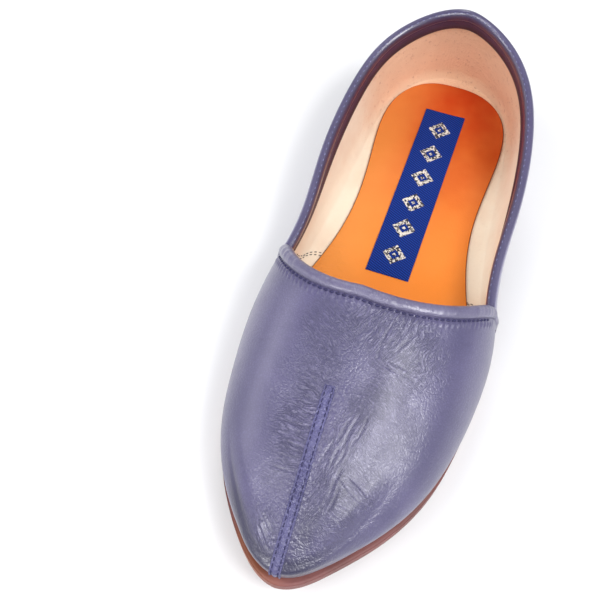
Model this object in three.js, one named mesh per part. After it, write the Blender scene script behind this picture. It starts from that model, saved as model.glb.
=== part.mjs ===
import * as THREE from "three";
import { mergeVertices } from "three/addons/utils/BufferGeometryUtils.js";

// A flat slip-on leather shoe for the left foot. Millimetres, +Z up, toe along -Y, outer side along +X.

// Sizes of the last
const shoeLength = 284;
const ballWidth = 103;
const heelWidth = 73;
const heelRound = 66;
const toeRound = 42.6;
const instepHeight = 64;
const heelBackHeight = 69;
const cornerHeight = 34;
const collarFlare = 8;
const toeSwing = 1.9;
const ridgeHeelSetback = 32;
const ridgeToeSetback = 26;
const ridgeLean = 1.8;
const sideRound = 10.4;
const footTuck = 3;
const wallFullness = 2.01;
const heelFullness = 2.2;

// Sizes of the sole
const forefootSole = 6;
const heelSole = 13;
const toeSpring = 11.6;
const archRise = 3;
const heelWelt = 1;
const toeWelt = 5.4;
const soleEdgeRound = 1.6;
const weltChamfer = 0.7;

// Sizes of the leather pieces
const upperWall = 2;
const vampStep = 1;
const lastingMargin = 10;
const throatReach = 24;
const sideSeamLean = 16;
const sockThickness = 1.3;
const bindingThickness = 0.8;
const bindingOutside = 4.5;
const bindingInside = 8.5;
const throatBindingInside = 5;
const toeSeamWidth = 5;
const toeSeamRise = 1.1;
const toeSeamReach = 68;
const toeSeamFoot = -0.5;
const labelWidth = 21;
const labelLength = 105;
const labelThickness = 0.6;
const labelFromHeel = 30.5;
const labelShift = 0.6;
const clearance = 0.3;
const foldClearance = 0.45;

// Half widths at the widest level. along is the share of the length from the heel back,
// and outer and inner are shares of the named width.
const outlineRows = [
  { along: 0.05, of: heelWidth, outer: 0.384, inner: 0.35 },
  { along: 0.12, of: heelWidth, outer: 0.514, inner: 0.468 },
  { along: 0.22, of: heelWidth, outer: 0.566, inner: 0.505 },
  { along: 0.34, of: ballWidth, outer: 0.423, inner: 0.373 },
  { along: 0.46, of: ballWidth, outer: 0.474, inner: 0.409 },
  { along: 0.58, of: ballWidth, outer: 0.539, inner: 0.463 },
  { along: 0.66, of: ballWidth, outer: 0.536, inner: 0.467 },
  { along: 0.74, of: ballWidth, outer: 0.504, inner: 0.443 },
  { along: 0.82, of: ballWidth, outer: 0.441, inner: 0.399 },
  { along: 0.9, of: ballWidth, outer: 0.316, inner: 0.301 },
  { along: 0.96, of: ballWidth, outer: 0.173, inner: 0.176 },
];

// The crest over the foot, as shares of the instep height. Behind the throat nothing stands there,
// and it only shapes the quarter's walls.
const crestRows = [
  { along: 0.1, height: 2.25 },
  { along: 0.3, height: 1.725 },
  { along: 0.5, height: 1.17 },
  { along: 0.58, height: 1.005 },
  { along: 0.7, height: 0.867 },
  { along: 0.8, height: 0.734 },
  { along: 0.87, height: 0.64 },
  { along: 0.93, height: 0.557 },
  { along: 1, height: 0.5 },
];

// The collar, by degrees of turn from the heel back to the throat corner: heights as shares of the
// named height, and its spread beyond the widest level as shares of the flare.
const collarRows = [
  { turn: 0, of: heelBackHeight, height: 1, outer: -1.66, inner: -1.66 },
  { turn: 29, of: heelBackHeight, height: 0.881, outer: -0.75, inner: -0.375 },
  { turn: 52, of: heelBackHeight, height: 0.739, outer: 0.54, inner: 0.95 },
  { turn: 74, of: cornerHeight, height: 1.21, outer: 0.84, inner: 0.97 },
  { turn: 94, of: cornerHeight, height: 1, outer: 0, inner: 0 },
];

// The lining that shows between the sock and the wall, as shares of the lasting margin.
const liningRows = [
  { turn: 0, outer: 0.54, inner: 0.54 },
  { turn: 34, outer: 0, inner: 0 },
  { turn: 69, outer: 0.7, inner: 0.73 },
  { turn: 109, outer: 0.14, inner: 0.13 },
  { turn: 140, outer: 0, inner: 0 },
  { turn: 180, outer: 0, inner: 0 },
];

// Places on the shoe
const half = shoeLength / 2;
const crestMiddle = (ridgeToeSetback - ridgeHeelSetback) / 2;
const crestReach = half - (ridgeToeSetback + ridgeHeelSetback) / 2;
const throatTurn = THREE.MathUtils.degToRad(collarRows.at(-1).turn);
const throatEase = 1.21;
const throatTurnWidth = half * Math.sin(throatTurn);

// How finely the pieces are divided
const quarterColumns = 48;
const vampSideColumns = 19;
const wallRows = 10;
const instepRows = 8;
const soleRows = 44;
const sockRows = 40;
const toeSeamSteps = 20;
const labelSteps = 8;

// A smooth curve through points [place, value], level at each end that asks for it.
function smoothCurve(points, levelStart, levelEnd) {
  const count = points.length;
  const bends = new Array(count).fill(0);
  const carried = new Array(count).fill(0);
  const step = (i) => points[i + 1][0] - points[i][0];
  const slope = (i) => (points[i + 1][1] - points[i][1]) / step(i);
  if (levelStart) {
    bends[0] = -0.5;
    carried[0] = (3 / step(0)) * slope(0);
  }
  for (let i = 1; i < count - 1; i++) {
    const share = step(i - 1) / (step(i - 1) + step(i));
    const divisor = share * bends[i - 1] + 2;
    bends[i] = (share - 1) / divisor;
    const turn = (6 * (slope(i) - slope(i - 1))) / (step(i - 1) + step(i));
    carried[i] = (turn - share * carried[i - 1]) / divisor;
  }
  const last = count - 1;
  const endShare = levelEnd ? 0.5 : 0;
  const endTurn = levelEnd ? (-3 / step(last - 1)) * slope(last - 1) : 0;
  bends[last] = (endTurn - endShare * carried[last - 1]) / (endShare * bends[last - 1] + 1);
  for (let i = last - 1; i >= 0; i--) bends[i] = bends[i] * bends[i + 1] + carried[i];
  return (place) => {
    let i = 0;
    while (i < last - 1 && place > points[i + 1][0]) i++;
    const span = step(i);
    const before = (points[i + 1][0] - place) / span;
    const after = (place - points[i][0]) / span;
    const curl = (before ** 3 - before) * bends[i] + (after ** 3 - after) * bends[i + 1];
    return before * points[i][1] + after * points[i + 1][1] + (curl * span * span) / 6;
  };
}

const shareOfTurn = (turn) => (1 - Math.cos(turn)) / 2;
const turnOfShare = (share) => Math.acos(1 - 2 * share);
const shareOfPlace = (y) => (half - y) / shoeLength;
const clamp = THREE.MathUtils.clamp;

// The half width over the sine of the turn, which keeps heel and toe round.
function widthCurve(side) {
  const points = outlineRows.map((row) => {
    const turn = turnOfShare(row.along);
    return [turn, (row[side] * row.of) / Math.sin(turn)];
  });
  return smoothCurve([[0, heelRound], ...points, [Math.PI, toeRound]], true, true);
}

const turnCurve = (rows, value, levelEnd) =>
  smoothCurve(rows.map((row) => [THREE.MathUtils.degToRad(row.turn), value(row)]), true, levelEnd);

const widths = { outer: widthCurve("outer"), inner: widthCurve("inner") };
const flares = {
  outer: turnCurve(collarRows, (row) => row.outer * collarFlare, true),
  inner: turnCurve(collarRows, (row) => row.inner * collarFlare, true),
};
const linings = {
  outer: turnCurve(liningRows, (row) => row.outer * lastingMargin, true),
  inner: turnCurve(liningRows, (row) => row.inner * lastingMargin, true),
};
const collarHeight = turnCurve(collarRows, (row) => row.height * row.of, false);
const crestHeight = smoothCurve(
  crestRows.map((row) => [row.along, row.height * instepHeight]),
  false,
  false,
);

// The top of the sole, its underside, and the rise of the toe, at a share of the length.
const springAt = (share) => toeSpring * clamp((share - 0.62) / 0.38, 0, 1) ** 2;
const archAt = (share) => archRise * Math.sin(Math.PI * clamp((share - 0.24) / 0.26, 0, 1)) ** 2;
const heelRiseAt = (share) => (heelSole - forefootSole) * clamp(1 - share / 0.55, 0, 1) ** 1.5;
const soleTopAt = (y) => {
  const share = shareOfPlace(y);
  return forefootSole + heelRiseAt(share) + springAt(clamp(share, 0, 1));
};
const soleUnderAt = (y) => {
  const share = clamp(shareOfPlace(y), 0, 1);
  return archAt(share) + springAt(share);
};

// One upright section of the last. angle is 0 at the heel back and pi at the toe, and less than 0 on
// the inner side.
function station(angle) {
  const side = angle >= 0 ? "outer" : "inner";
  const turn = Math.abs(angle);
  const sign = side === "outer" ? 1 : -1;
  const swing = (share) => toeSwing * clamp((share - 0.5) / 0.5, 0, 1) ** 2;
  const share = shareOfTurn(turn);
  const edgeX = swing(share) + sign * widths[side](turn) * Math.sin(turn);
  const edgeY = half * Math.cos(turn);
  const crestY = crestMiddle + crestReach * Math.cos(turn);
  const crestShare = shareOfPlace(crestY);
  const crestX = swing(crestShare) - ridgeLean * Math.exp(-(((crestShare - 0.6) / 0.25) ** 2));
  const depth = Math.hypot(edgeX - crestX, edgeY - crestY);
  const at = (inset, z) => {
    const out = 1 - inset / depth;
    return new THREE.Vector3(crestX + (edgeX - crestX) * out, crestY + (edgeY - crestY) * out, z);
  };
  const foot = soleTopAt(at(footTuck, 0).y) + clearance;
  const wide = foot + sideRound;
  const crest = crestHeight(crestShare);
  const fullness = wallFullness + (heelFullness - wallFullness) * clamp(1 - turn / 1.7, 0, 1);
  const collar = collarHeight(Math.min(turn, throatTurn));
  const flare = turn < throatTurn ? flares[side](turn) : 0;
  return { side, turn, depth, at, foot, wide, crest, crestShare, fullness, collar, flare };
}

// A point of the upper's outside. rise is -1 where the wall meets the sole, 0 at the widest level
// and 1 at the crest.
function skin(angle, rise) {
  const s = station(angle);
  const lift = (clamp(rise, 0, 1) * Math.PI) / 2;
  const down = clamp(-rise, 0, 1);
  const height = Math.sin(lift) ** (2 / s.fullness);
  const inward = rise >= 0 ? s.depth * (1 - Math.cos(lift) ** (2 / s.fullness)) : footTuck * down ** 2;
  const crest = crestHeight(Math.max(s.crestShare, shareOfPlace(s.at(inward, 0).y)));
  const z = rise >= 0 ? s.wide + (crest - s.wide) * height : s.wide - sideRound * down;
  const spread = s.flare * clamp((z - s.foot) / (s.collar - s.foot), 0, 1.2);
  return s.at(inward - spread, z);
}

// The rise at which the wall reaches a height.
function riseAt(angle, z) {
  const s = station(angle);
  if (z < s.wide) return (z - s.wide) / sideRound;
  const height = clamp((z - s.wide) / (s.crest - s.wide), 0, 1);
  return (Math.asin(height ** (s.fullness / 2)) * 2) / Math.PI;
}

const cornerRise = riseAt(throatTurn, collarHeight(throatTurn));
const cornerWall = collarHeight(throatTurn) - station(throatTurn).foot;

// The side seam, from the sole at 0 to the throat corner at 1, and the throat edge from there at 0
// to the crest at 1, as turns.
const seamTurn = (share) => throatTurn - (sideSeamLean / throatTurnWidth) * (1 - share);
const throatCrestTurn = Math.acos(Math.cos(throatTurn) - throatReach / crestReach);
const throatEdgeTurn = (share) =>
  throatTurn + (throatCrestTurn - throatTurn) * Math.sin((share * Math.PI) / 2) ** throatEase;

// A point of the quarter: across is -1 at the inner side seam and 1 at the outer one, and up is 0 at
// the sole and 1 at the collar.
function quarterPoint(across, up) {
  const end = Math.abs(across) * throatTurn;
  const collarRise = riseAt(end, collarHeight(end));
  const angle = across * seamTurn(up);
  return skin(angle, -1 + up * (collarRise + 1));
}

// A point of the vamp: side is 1 outside and -1 inside, up is 0 to 1 beside the seam and 1 to 2 beside
// the throat, and ahead is the turn in front of that edge.
function vampPoint(side, up, ahead) {
  const above = Math.max(up - 1, 0);
  const edge = up <= 1 ? seamTurn(up) : throatEdgeTurn(above);
  const rise = up <= 1 ? -1 + up * (cornerRise + 1) : cornerRise + (1 - cornerRise) * above;
  return skin(side * Math.min(edge + ahead, Math.PI), rise);
}

// The turn that lies a distance ahead of the vamp's edge, measured square to it.
function turnAhead(side, up, distance) {
  const nudge = 0.002;
  const here = vampPoint(side, up, nudge);
  const along = vampPoint(side, up - nudge, nudge).sub(vampPoint(side, Math.min(up + nudge, 2), nudge)).normalize();
  const forward = vampPoint(side, up, 2 * nudge).sub(here).divideScalar(nudge);
  const square = forward.clone().addScaledVector(along, -forward.dot(along));
  return distance / square.length();
}

// The direction square to a surface, which is given as a function of two places.
function outwardAt(surface, a, b, sign) {
  const nudge = 1e-3;
  const alongA = surface(a + nudge, b).sub(surface(a - nudge, b));
  const alongB = surface(a, b + nudge).sub(surface(a, b - nudge));
  return alongB.cross(alongA).normalize().multiplyScalar(sign);
}

const cornersOf = (p) => p.toArray().map((v) => Math.round(v * 1e4)).join(" ");

// Merges equal corners, drops empty triangles, and turns the faces outwards.
function closedGeometry(points, triangles) {
  const loose = new THREE.BufferGeometry();
  loose.setAttribute("position", new THREE.Float32BufferAttribute(points.flatMap((p) => p.toArray()), 3));
  loose.setIndex(triangles.flat());
  const merged = mergeVertices(loose, 1e-3);
  const old = merged.index.array;
  const kept = [];
  for (let i = 0; i < old.length; i += 3) {
    const [a, b, c] = [old[i], old[i + 1], old[i + 2]];
    if (a !== b && b !== c && c !== a) kept.push([a, b, c]);
  }
  const corner = (i) => new THREE.Vector3().fromBufferAttribute(merged.getAttribute("position"), i);
  let volume = 0;
  for (const [a, b, c] of kept) volume += corner(a).dot(corner(b).cross(corner(c)));
  merged.setIndex(volume < 0 ? kept.flatMap(([a, b, c]) => [a, c, b]) : kept.flat());
  merged.computeVertexNormals();
  return merged;
}

// The triangles of a grid of corners, row by row.
function gridTriangles(rows, columns, corner, closed) {
  const triangles = [];
  for (let i = 0; i < rows - 1; i++) {
    for (let j = 0; j < (closed ? columns : columns - 1); j++) {
      const k = (j + 1) % columns;
      triangles.push([corner(i, j), corner(i, k), corner(i + 1, k)]);
      triangles.push([corner(i, j), corner(i + 1, k), corner(i + 1, j)]);
    }
  }
  return triangles;
}

// A solid through loops of corners. ends is the flat outline that fills the first and the last loop,
// and is left out where those loops close on themselves.
function sweptGeometry(loops, ends) {
  const size = loops[0].length;
  const triangles = gridTriangles(loops.length, size, (i, j) => i * size + j, true);
  if (ends) {
    const offset = (loops.length - 1) * size;
    const { area, triangulateShape } = THREE.ShapeUtils;
    for (const face of triangulateShape([...ends], [])) {
      const turned = area(face.map((i) => ends[i])) * area(ends) < 0;
      const [a, b, c] = turned ? face.toReversed() : face;
      triangles.push([a, c, b], [a + offset, b + offset, c + offset]);
    }
  }
  return closedGeometry(loops.flat(), triangles);
}

// A wall under a sheet of corners. Each corner has a place on the sheet and a rise above it.
function walledGeometry(corners, triangles, wall) {
  const known = new Map();
  const unique = [];
  const indexOf = corners.map(({ place, rise }) => {
    const key = cornersOf(place) + " " + rise;
    if (!known.has(key)) known.set(key, unique.push({ place, rise }) - 1);
    return known.get(key);
  });
  const faces = triangles
    .map((triangle) => triangle.map((i) => indexOf[i]))
    .filter(([a, b, c]) => a !== b && b !== c && c !== a);
  const meetings = new Map(unique.map(({ place }) => [cornersOf(place), []]));
  for (const face of faces) {
    const [a, b, c] = face.map((i) => unique[i].place);
    const area = b.clone().sub(a).cross(c.clone().sub(a));
    for (const p of [a, b, c]) meetings.get(cornersOf(p)).push(area);
  }
  const directions = unique.map(({ place }) => {
    const areas = meetings.get(cornersOf(place)).filter((area) => area.length() > 1e-6);
    const out = areas.reduce((sum, area) => sum.add(area), new THREE.Vector3()).normalize();
    const total = areas.reduce((sum, area) => sum + area.length(), 0);
    const squareness = areas.reduce((sum, area) => sum + area.dot(out), 0) / total;
    return { out, reach: wall / Math.max(squareness, 0.7) };
  });
  const count = unique.length;
  const outside = unique.map(({ place, rise }, i) => place.clone().addScaledVector(directions[i].out, rise));
  const inside = unique.map(({ place }, i) => place.clone().addScaledVector(directions[i].out, -directions[i].reach));
  const all = [...faces, ...faces.map(([a, b, c]) => [a + count, c + count, b + count])];
  const edges = new Set(faces.flatMap(([a, b, c]) => [`${a} ${b}`, `${b} ${c}`, `${c} ${a}`]));
  for (const edge of edges) {
    const [a, b] = edge.split(" ").map(Number);
    if (edges.has(`${b} ${a}`)) continue;
    all.push([b, a, a + count], [b, a + count, b + count]);
  }
  return closedGeometry([...outside, ...inside], all);
}

// The upper: quarter and vamp in one leather wall with a turned-in lasting margin. The vamp lies a
// step proud of the quarter, and its throat edge is thinned where the binding folds over it.
function upperGeometry() {
  const rebate = bindingOutside + 2 * clearance;
  const marginRow = { margin: true, up: 0 };
  const lower = Array.from({ length: wallRows + 1 }, (_, i) => ({ up: i / wallRows }));
  const upper = Array.from({ length: instepRows + 1 }, (_, i) => ({ up: 1 + i / instepRows, thinned: true }));
  const rows = [marginRow, ...lower, ...upper];
  const seamRows = lower.length + 1;
  const even = (count) => Array.from({ length: count + 1 }, (_, i) => i / count);
  const vampHalf = [{ first: true }, { band: true }, ...even(vampSideColumns).map((share) => ({ share }))];
  const mirrored = (column) => ({ ...column, side: -1 });
  const vampColumns = [
    ...vampHalf.map((column) => ({ ...column, side: 1 })),
    ...vampHalf.slice(0, -1).reverse().map(mirrored),
  ];
  const quarterAcross = even(quarterColumns).map((share) => 2 * share - 1);
  const flat = (angle) => {
    const s = station(angle);
    const p = s.at(footTuck + Math.min(lastingMargin, 0.6 * s.depth), 0);
    return p.setZ(soleTopAt(p.y) + clearance);
  };
  const corners = [];
  const grid = rows.map((row) => {
    const line = [];
    const put = (place, rise) => line.push(corners.push({ place, rise }) - 1);
    if (!row.thinned) {
      for (const across of quarterAcross) {
        put(row.margin ? flat(across * seamTurn(0)) : quarterPoint(across, row.up), 0);
      }
    }
    for (const column of vampColumns) {
      // Both sides share their corners along the crest.
      if (row.up === 2 && column.side < 0) {
        line.push(line[2 * (vampHalf.length - 1) - line.length]);
        continue;
      }
      const band = turnAhead(column.side, Math.max(row.up, 0.02), rebate);
      const edge = row.up <= 1 ? seamTurn(row.up) : throatEdgeTurn(row.up - 1);
      const rest = Math.PI - edge - band;
      const ahead = column.first ? 0 : column.band ? band : band + rest * column.share;
      const lowered = row.margin || row.up === 0 || (row.thinned && (column.first || column.band));
      const place = row.margin
        ? flat(column.side * Math.min(edge + ahead, Math.PI))
        : vampPoint(column.side, row.up, ahead);
      put(place, lowered ? 0 : vampStep);
    }
    return line;
  });
  const ring = grid.slice(0, seamRows);
  const instep = [grid[seamRows - 1].slice(quarterAcross.length), ...grid.slice(seamRows)];
  const triangles = [
    ...gridTriangles(ring.length, ring[0].length, (i, j) => ring[i][j], true),
    ...gridTriangles(instep.length, instep[0].length, (i, j) => instep[i][j], false),
  ];
  return walledGeometry(corners, triangles.map((face) => face.toReversed()), upperWall);
}

// The outsole: flat under heel and forefoot, hollowed at the arch and lifted at the toe.
function outsoleGeometry() {
  const edge = [
    { inset: soleEdgeRound, above: 0 },
    { inset: 0.3 * soleEdgeRound, above: 0.4 * soleEdgeRound },
    { inset: 0, above: soleEdgeRound },
    { inset: 0, below: weltChamfer },
    { inset: weltChamfer, below: 0 },
  ];
  const loops = [];
  for (let i = 0; i <= soleRows; i++) {
    const turn = (Math.PI * i) / soleRows;
    const welt = heelWelt + ((toeWelt - heelWelt) * turn) / Math.PI;
    const corner = (angle) => (level) => {
      const p = station(angle).at(footTuck - welt + level.inset, 0);
      return p.setZ("above" in level ? soleUnderAt(p.y) + level.above : soleTopAt(p.y) - level.below);
    };
    loops.push([...edge.map(corner(turn)), ...edge.toReversed().map(corner(-turn))]);
  }
  return sweptGeometry(loops);
}

// The sock: a thin plate over the lasting margin, with a core that fills the opening inside it.
const sockUnder = 2 * clearance + upperWall;
const sockTopAt = (y) => soleTopAt(y) + sockUnder + sockThickness;

function sockGeometry() {
  const tuckThere = footTuck * (1 - (sockUnder - clearance) / sideRound) ** 2;
  const loops = [];
  for (let i = 0; i <= sockRows; i++) {
    const turn = (Math.PI * i) / sockRows;
    const corner = (angle) => {
      const s = station(angle);
      const lining = Math.max(linings[s.side](s.turn), 0);
      const plate = tuckThere + upperWall + 2 * clearance + lining;
      const core = footTuck + Math.min(lastingMargin, 0.6 * s.depth) + 2 * clearance;
      const levels = [
        { inset: core, up: clearance },
        { inset: core, up: sockUnder },
        { inset: plate, up: sockUnder },
        { inset: plate, up: sockUnder + 0.6 * sockThickness },
        { inset: plate + 0.4 * sockThickness, up: sockUnder + sockThickness },
      ];
      return levels.map(({ inset, up }) => {
        const p = s.at(inset, 0);
        return p.setZ(soleTopAt(p.y) + up);
      });
    };
    loops.push([...corner(turn), ...corner(-turn).toReversed()]);
  }
  return sweptGeometry(loops);
}

// The section of a folded binding. off is the distance out of the leather's outside, and down is the
// distance from its edge, less than 0 beyond it.
function foldSection(outside, inside) {
  const outer = foldClearance + bindingThickness;
  const inner = upperWall + outer;
  return [
    { off: outer, down: outside },
    { off: outer, down: 0 },
    { off: 0.4 * outer, down: -0.85 * outer },
    { off: -upperWall / 2, down: -outer },
    { off: -upperWall - 0.4 * outer, down: -0.85 * outer },
    { off: -inner, down: 0 },
    { off: -inner, down: inside / 2 },
    { off: -inner, down: inside },
    { off: -upperWall - foldClearance, down: inside },
    { off: -upperWall - foldClearance, down: inside / 2 },
    { off: -upperWall - foldClearance, down: -foldClearance },
    { off: foldClearance, down: -foldClearance },
    { off: foldClearance, down: outside },
  ];
}

const flatOf = (section) => section.map(({ off, down }) => new THREE.Vector2(off, down));

function collarBindingGeometry() {
  const section = foldSection(bindingOutside, bindingInside);
  const endGap = (bindingThickness + 2 * foldClearance) / throatTurnWidth / throatTurn;
  const loops = [];
  for (let i = 0; i <= quarterColumns; i++) {
    const across = clamp((2 * i) / quarterColumns - 1, endGap - 1, 1 - endGap);
    const edge = quarterPoint(across, 1);
    const below = quarterPoint(across, 0.9);
    const wallLength = edge.distanceTo(below) / 0.1;
    const rising = edge.clone().sub(below).normalize();
    loops.push(
      section.map(({ off, down }) => {
        const up = 1 - Math.max(down, 0) / wallLength;
        const out = outwardAt(quarterPoint, across, up, 1);
        return quarterPoint(across, up)
          .addScaledVector(out, off)
          .addScaledVector(rising, Math.max(-down, 0));
      }),
    );
  }
  return sweptGeometry(loops, flatOf(section));
}

function throatBindingGeometry() {
  const section = foldSection(bindingOutside, throatBindingInside);
  const startGap = (2 * clearance) / cornerWall;
  const ups = Array.from({ length: instepRows + 1 }, (_, i) => 1 + Math.max(i / instepRows, startGap));
  const stops = [
    ...ups.map((up) => ({ side: 1, up })),
    ...ups.slice(0, -1).reverse().map((up) => ({ side: -1, up })),
  ];
  const loops = stops.map(({ side, up }) => {
    const surface = (a, b) => vampPoint(side, a, b);
    const inside = Math.min(up, 2 - 2e-3);
    const ahead = turnAhead(side, up, 1);
    const forward = vampPoint(side, up, 2 * ahead).sub(vampPoint(side, up, ahead)).normalize();
    return section.map(({ off, down }) => {
      const turn = turnAhead(side, up, Math.max(down, 0));
      return vampPoint(side, up, turn)
        .addScaledVector(outwardAt(surface, inside, turn, -side), off)
        .addScaledVector(forward, Math.min(down, 0));
    });
  });
  return sweptGeometry(loops, flatOf(section));
}

// The raised seam along the crest, from the middle of the vamp over the toe to just above the sole.
function toeSeamGeometry() {
  const startTurn = Math.acos((toeSeamReach - half - crestMiddle) / crestReach);
  const onCrest = (share) => skin(startTurn + (Math.PI - startTurn) * share, 1);
  const onToe = (share) => skin(Math.PI, 1 + (toeSeamFoot - 1) * share);
  const route = (place) => (place <= 1 ? onCrest(Math.max(place, 0)) : onToe(Math.min(place - 1, 1)));
  const across = new THREE.Vector3(1, 0, 0);
  const low = vampStep + clearance;
  const high = low + toeSeamRise;
  const section = [
    { off: low, aside: -toeSeamWidth / 2 },
    { off: low, aside: toeSeamWidth / 2 },
    { off: low + 0.5 * toeSeamRise, aside: toeSeamWidth / 2 },
    { off: high, aside: 0.3 * toeSeamWidth },
    { off: high, aside: -0.3 * toeSeamWidth },
    { off: low + 0.5 * toeSeamRise, aside: -toeSeamWidth / 2 },
  ];
  const loops = [];
  for (let i = 0; i <= toeSeamSteps; i++) {
    const place = (2 * i) / toeSeamSteps;
    const nudge = 0.02;
    const onward = route(place + nudge).sub(route(place - nudge)).normalize();
    const out = onward.clone().cross(across).normalize();
    loops.push(
      section.map(({ off, aside }) => route(place).addScaledVector(out, off).addScaledVector(across, aside)),
    );
  }
  return sweptGeometry(loops, section.map(({ off, aside }) => new THREE.Vector2(off, aside)));
}

// The woven label that lies along the sock.
function labelGeometry() {
  const loops = [];
  for (let i = 0; i <= labelSteps; i++) {
    const y = half - labelFromHeel - (labelLength * i) / labelSteps;
    const under = sockTopAt(y) + clearance;
    const left = labelShift - labelWidth / 2;
    const right = labelShift + labelWidth / 2;
    loops.push([
      new THREE.Vector3(left, y, under),
      new THREE.Vector3(right, y, under),
      new THREE.Vector3(right, y, under + labelThickness),
      new THREE.Vector3(left, y, under + labelThickness),
    ]);
  }
  const ends = [[0, 0], [1, 0], [1, 1], [0, 1]].map(([x, y]) => new THREE.Vector2(x, y));
  return sweptGeometry(loops, ends);
}

// The finishes, and the shoe put together
const finishes = {
  upper_leather: { color: 0x6f6a9c, roughness: 0.45, metalness: 0 },
  binding_leather: { color: 0x645f92, roughness: 0.45, metalness: 0 },
  sock_leather: { color: 0xd9762f, roughness: 0.55, metalness: 0 },
  sole_rubber: { color: 0xa9706a, roughness: 0.8, metalness: 0 },
  label_weave: { color: 0x2b4b8c, roughness: 0.9, metalness: 0 },
};
const pieces = [
  { name: "outsole", finish: "sole_rubber", geometry: outsoleGeometry() },
  { name: "upper", finish: "upper_leather", geometry: upperGeometry() },
  { name: "insole_sock", finish: "sock_leather", geometry: sockGeometry() },
  { name: "collar_binding", finish: "binding_leather", geometry: collarBindingGeometry() },
  { name: "throat_binding", finish: "binding_leather", geometry: throatBindingGeometry() },
  { name: "toe_seam", finish: "upper_leather", geometry: toeSeamGeometry() },
  { name: "label", finish: "label_weave", geometry: labelGeometry() },
];

const lasted = new THREE.Group();
for (const { name, finish, geometry } of pieces) {
  const mesh = new THREE.Mesh(geometry, new THREE.MeshStandardMaterial(finishes[finish]));
  mesh.name = name;
  lasted.add(mesh);
}

// The shoe stands over the middle of its box.
const box = new THREE.Box3().setFromObject(lasted);
const middle = box.getCenter(new THREE.Vector3());
lasted.position.set(-middle.x, -middle.y, -box.min.z);
const shoe = new THREE.Group();
shoe.add(lasted);

export default shoe;
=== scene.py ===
"""Dresses the left mojari: polished indigo leather, cream lining, orange sock and a rose-brown sole."""

import functools
import math
import random

import bmesh
import bpy
import numpy as np
from mathutils import Matrix, Vector


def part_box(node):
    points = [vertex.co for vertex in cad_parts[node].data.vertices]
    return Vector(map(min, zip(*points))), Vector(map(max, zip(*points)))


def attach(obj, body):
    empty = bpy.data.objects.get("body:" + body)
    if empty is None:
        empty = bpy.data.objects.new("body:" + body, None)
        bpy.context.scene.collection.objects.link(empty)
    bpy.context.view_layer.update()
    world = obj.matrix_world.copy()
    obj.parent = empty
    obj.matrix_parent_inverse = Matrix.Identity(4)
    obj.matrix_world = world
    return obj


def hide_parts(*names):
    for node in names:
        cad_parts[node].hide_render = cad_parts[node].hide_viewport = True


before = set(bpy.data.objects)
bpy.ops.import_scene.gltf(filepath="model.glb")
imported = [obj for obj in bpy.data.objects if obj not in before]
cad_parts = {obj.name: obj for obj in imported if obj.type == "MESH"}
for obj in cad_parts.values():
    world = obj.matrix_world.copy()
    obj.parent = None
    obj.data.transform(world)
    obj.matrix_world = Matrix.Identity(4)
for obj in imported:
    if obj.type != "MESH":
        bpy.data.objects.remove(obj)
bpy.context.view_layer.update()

# Sizes of the last and of the leather pieces, in millimetres, as the maker's drawing has them.
MM = 0.001
SHOE_LENGTH = 284.0
BALL_WIDTH = 103.0
HEEL_WIDTH = 73.0
HEEL_ROUND = 66.0
TOE_ROUND = 42.6
INSTEP_HEIGHT = 64.0
HEEL_BACK_HEIGHT = 69.0
CORNER_HEIGHT = 34.0
COLLAR_FLARE = 8.0
TOE_SWING = 1.9
RIDGE_HEEL_SETBACK = 32.0
RIDGE_TOE_SETBACK = 26.0
RIDGE_LEAN = 1.8
SIDE_ROUND = 10.4
FOOT_TUCK = 3.0
WALL_FULLNESS = 2.01
HEEL_FULLNESS = 2.2
FOREFOOT_SOLE = 6.0
HEEL_SOLE = 13.0
TOE_SPRING = 11.6
ARCH_RISE = 3.0
HEEL_WELT = 1.0
TOE_WELT = 5.4
UPPER_WALL = 2.0
VAMP_STEP = 1.0
LASTING_MARGIN = 10.0
THROAT_REACH = 24.0
SIDE_SEAM_LEAN = 16.0
SOCK_THICKNESS = 1.3
LABEL_WIDTH = 21.0
LABEL_LENGTH = 105.0
LABEL_FROM_HEEL = 30.5
LABEL_SHIFT = 0.6
LABEL_THICKNESS = 0.6
TOE_SEAM_REACH = 68.0
TOE_SEAM_FOOT = -0.5
CLEARANCE = 0.3
SOLE_ROWS = 44
THROAT_EASE = 1.21
SEAM_STITCH = 2.5
THROAT_STITCH = 2.7
# How far the quarter's leather runs past the seams, and the share of the vamp's sheet that is beside them.
QUARTER_REACH = 1.07
VAMP_SIDE_SHARE = 0.32
# The half width of the band that covers the toe seam.
TOE_SEAM_HALF = 2.45
# Shares of the lining's sheet where it leaves the wall and where it reaches the margin, then how far in
# from the wall it meets the margin, and how far it runs on from there.
LINING_WALL_END = 0.62
LINING_CORNER = 0.2
LINING_FOOT = 2.6
LINING_RUN = 9.0
# Shares of the sole's sheet where the edge of its top starts to round, and where its side starts and ends.
SOLE_ROUND_START = 0.2
SOLE_SIDE_START = 0.23
SOLE_SIDE_END = 0.62
# What lies ahead of the vamp's edge at the throat: its thinned strip, the stitches' groove and the puckers.
THROAT_THINNED = (3.4, 4.8)
THROAT_GROOVE = 5.2
THROAT_PUCKERS = 6.9
HALF = SHOE_LENGTH / 2
CREST_MIDDLE = (RIDGE_TOE_SETBACK - RIDGE_HEEL_SETBACK) / 2
CREST_REACH = HALF - (RIDGE_TOE_SETBACK + RIDGE_HEEL_SETBACK) / 2

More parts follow.
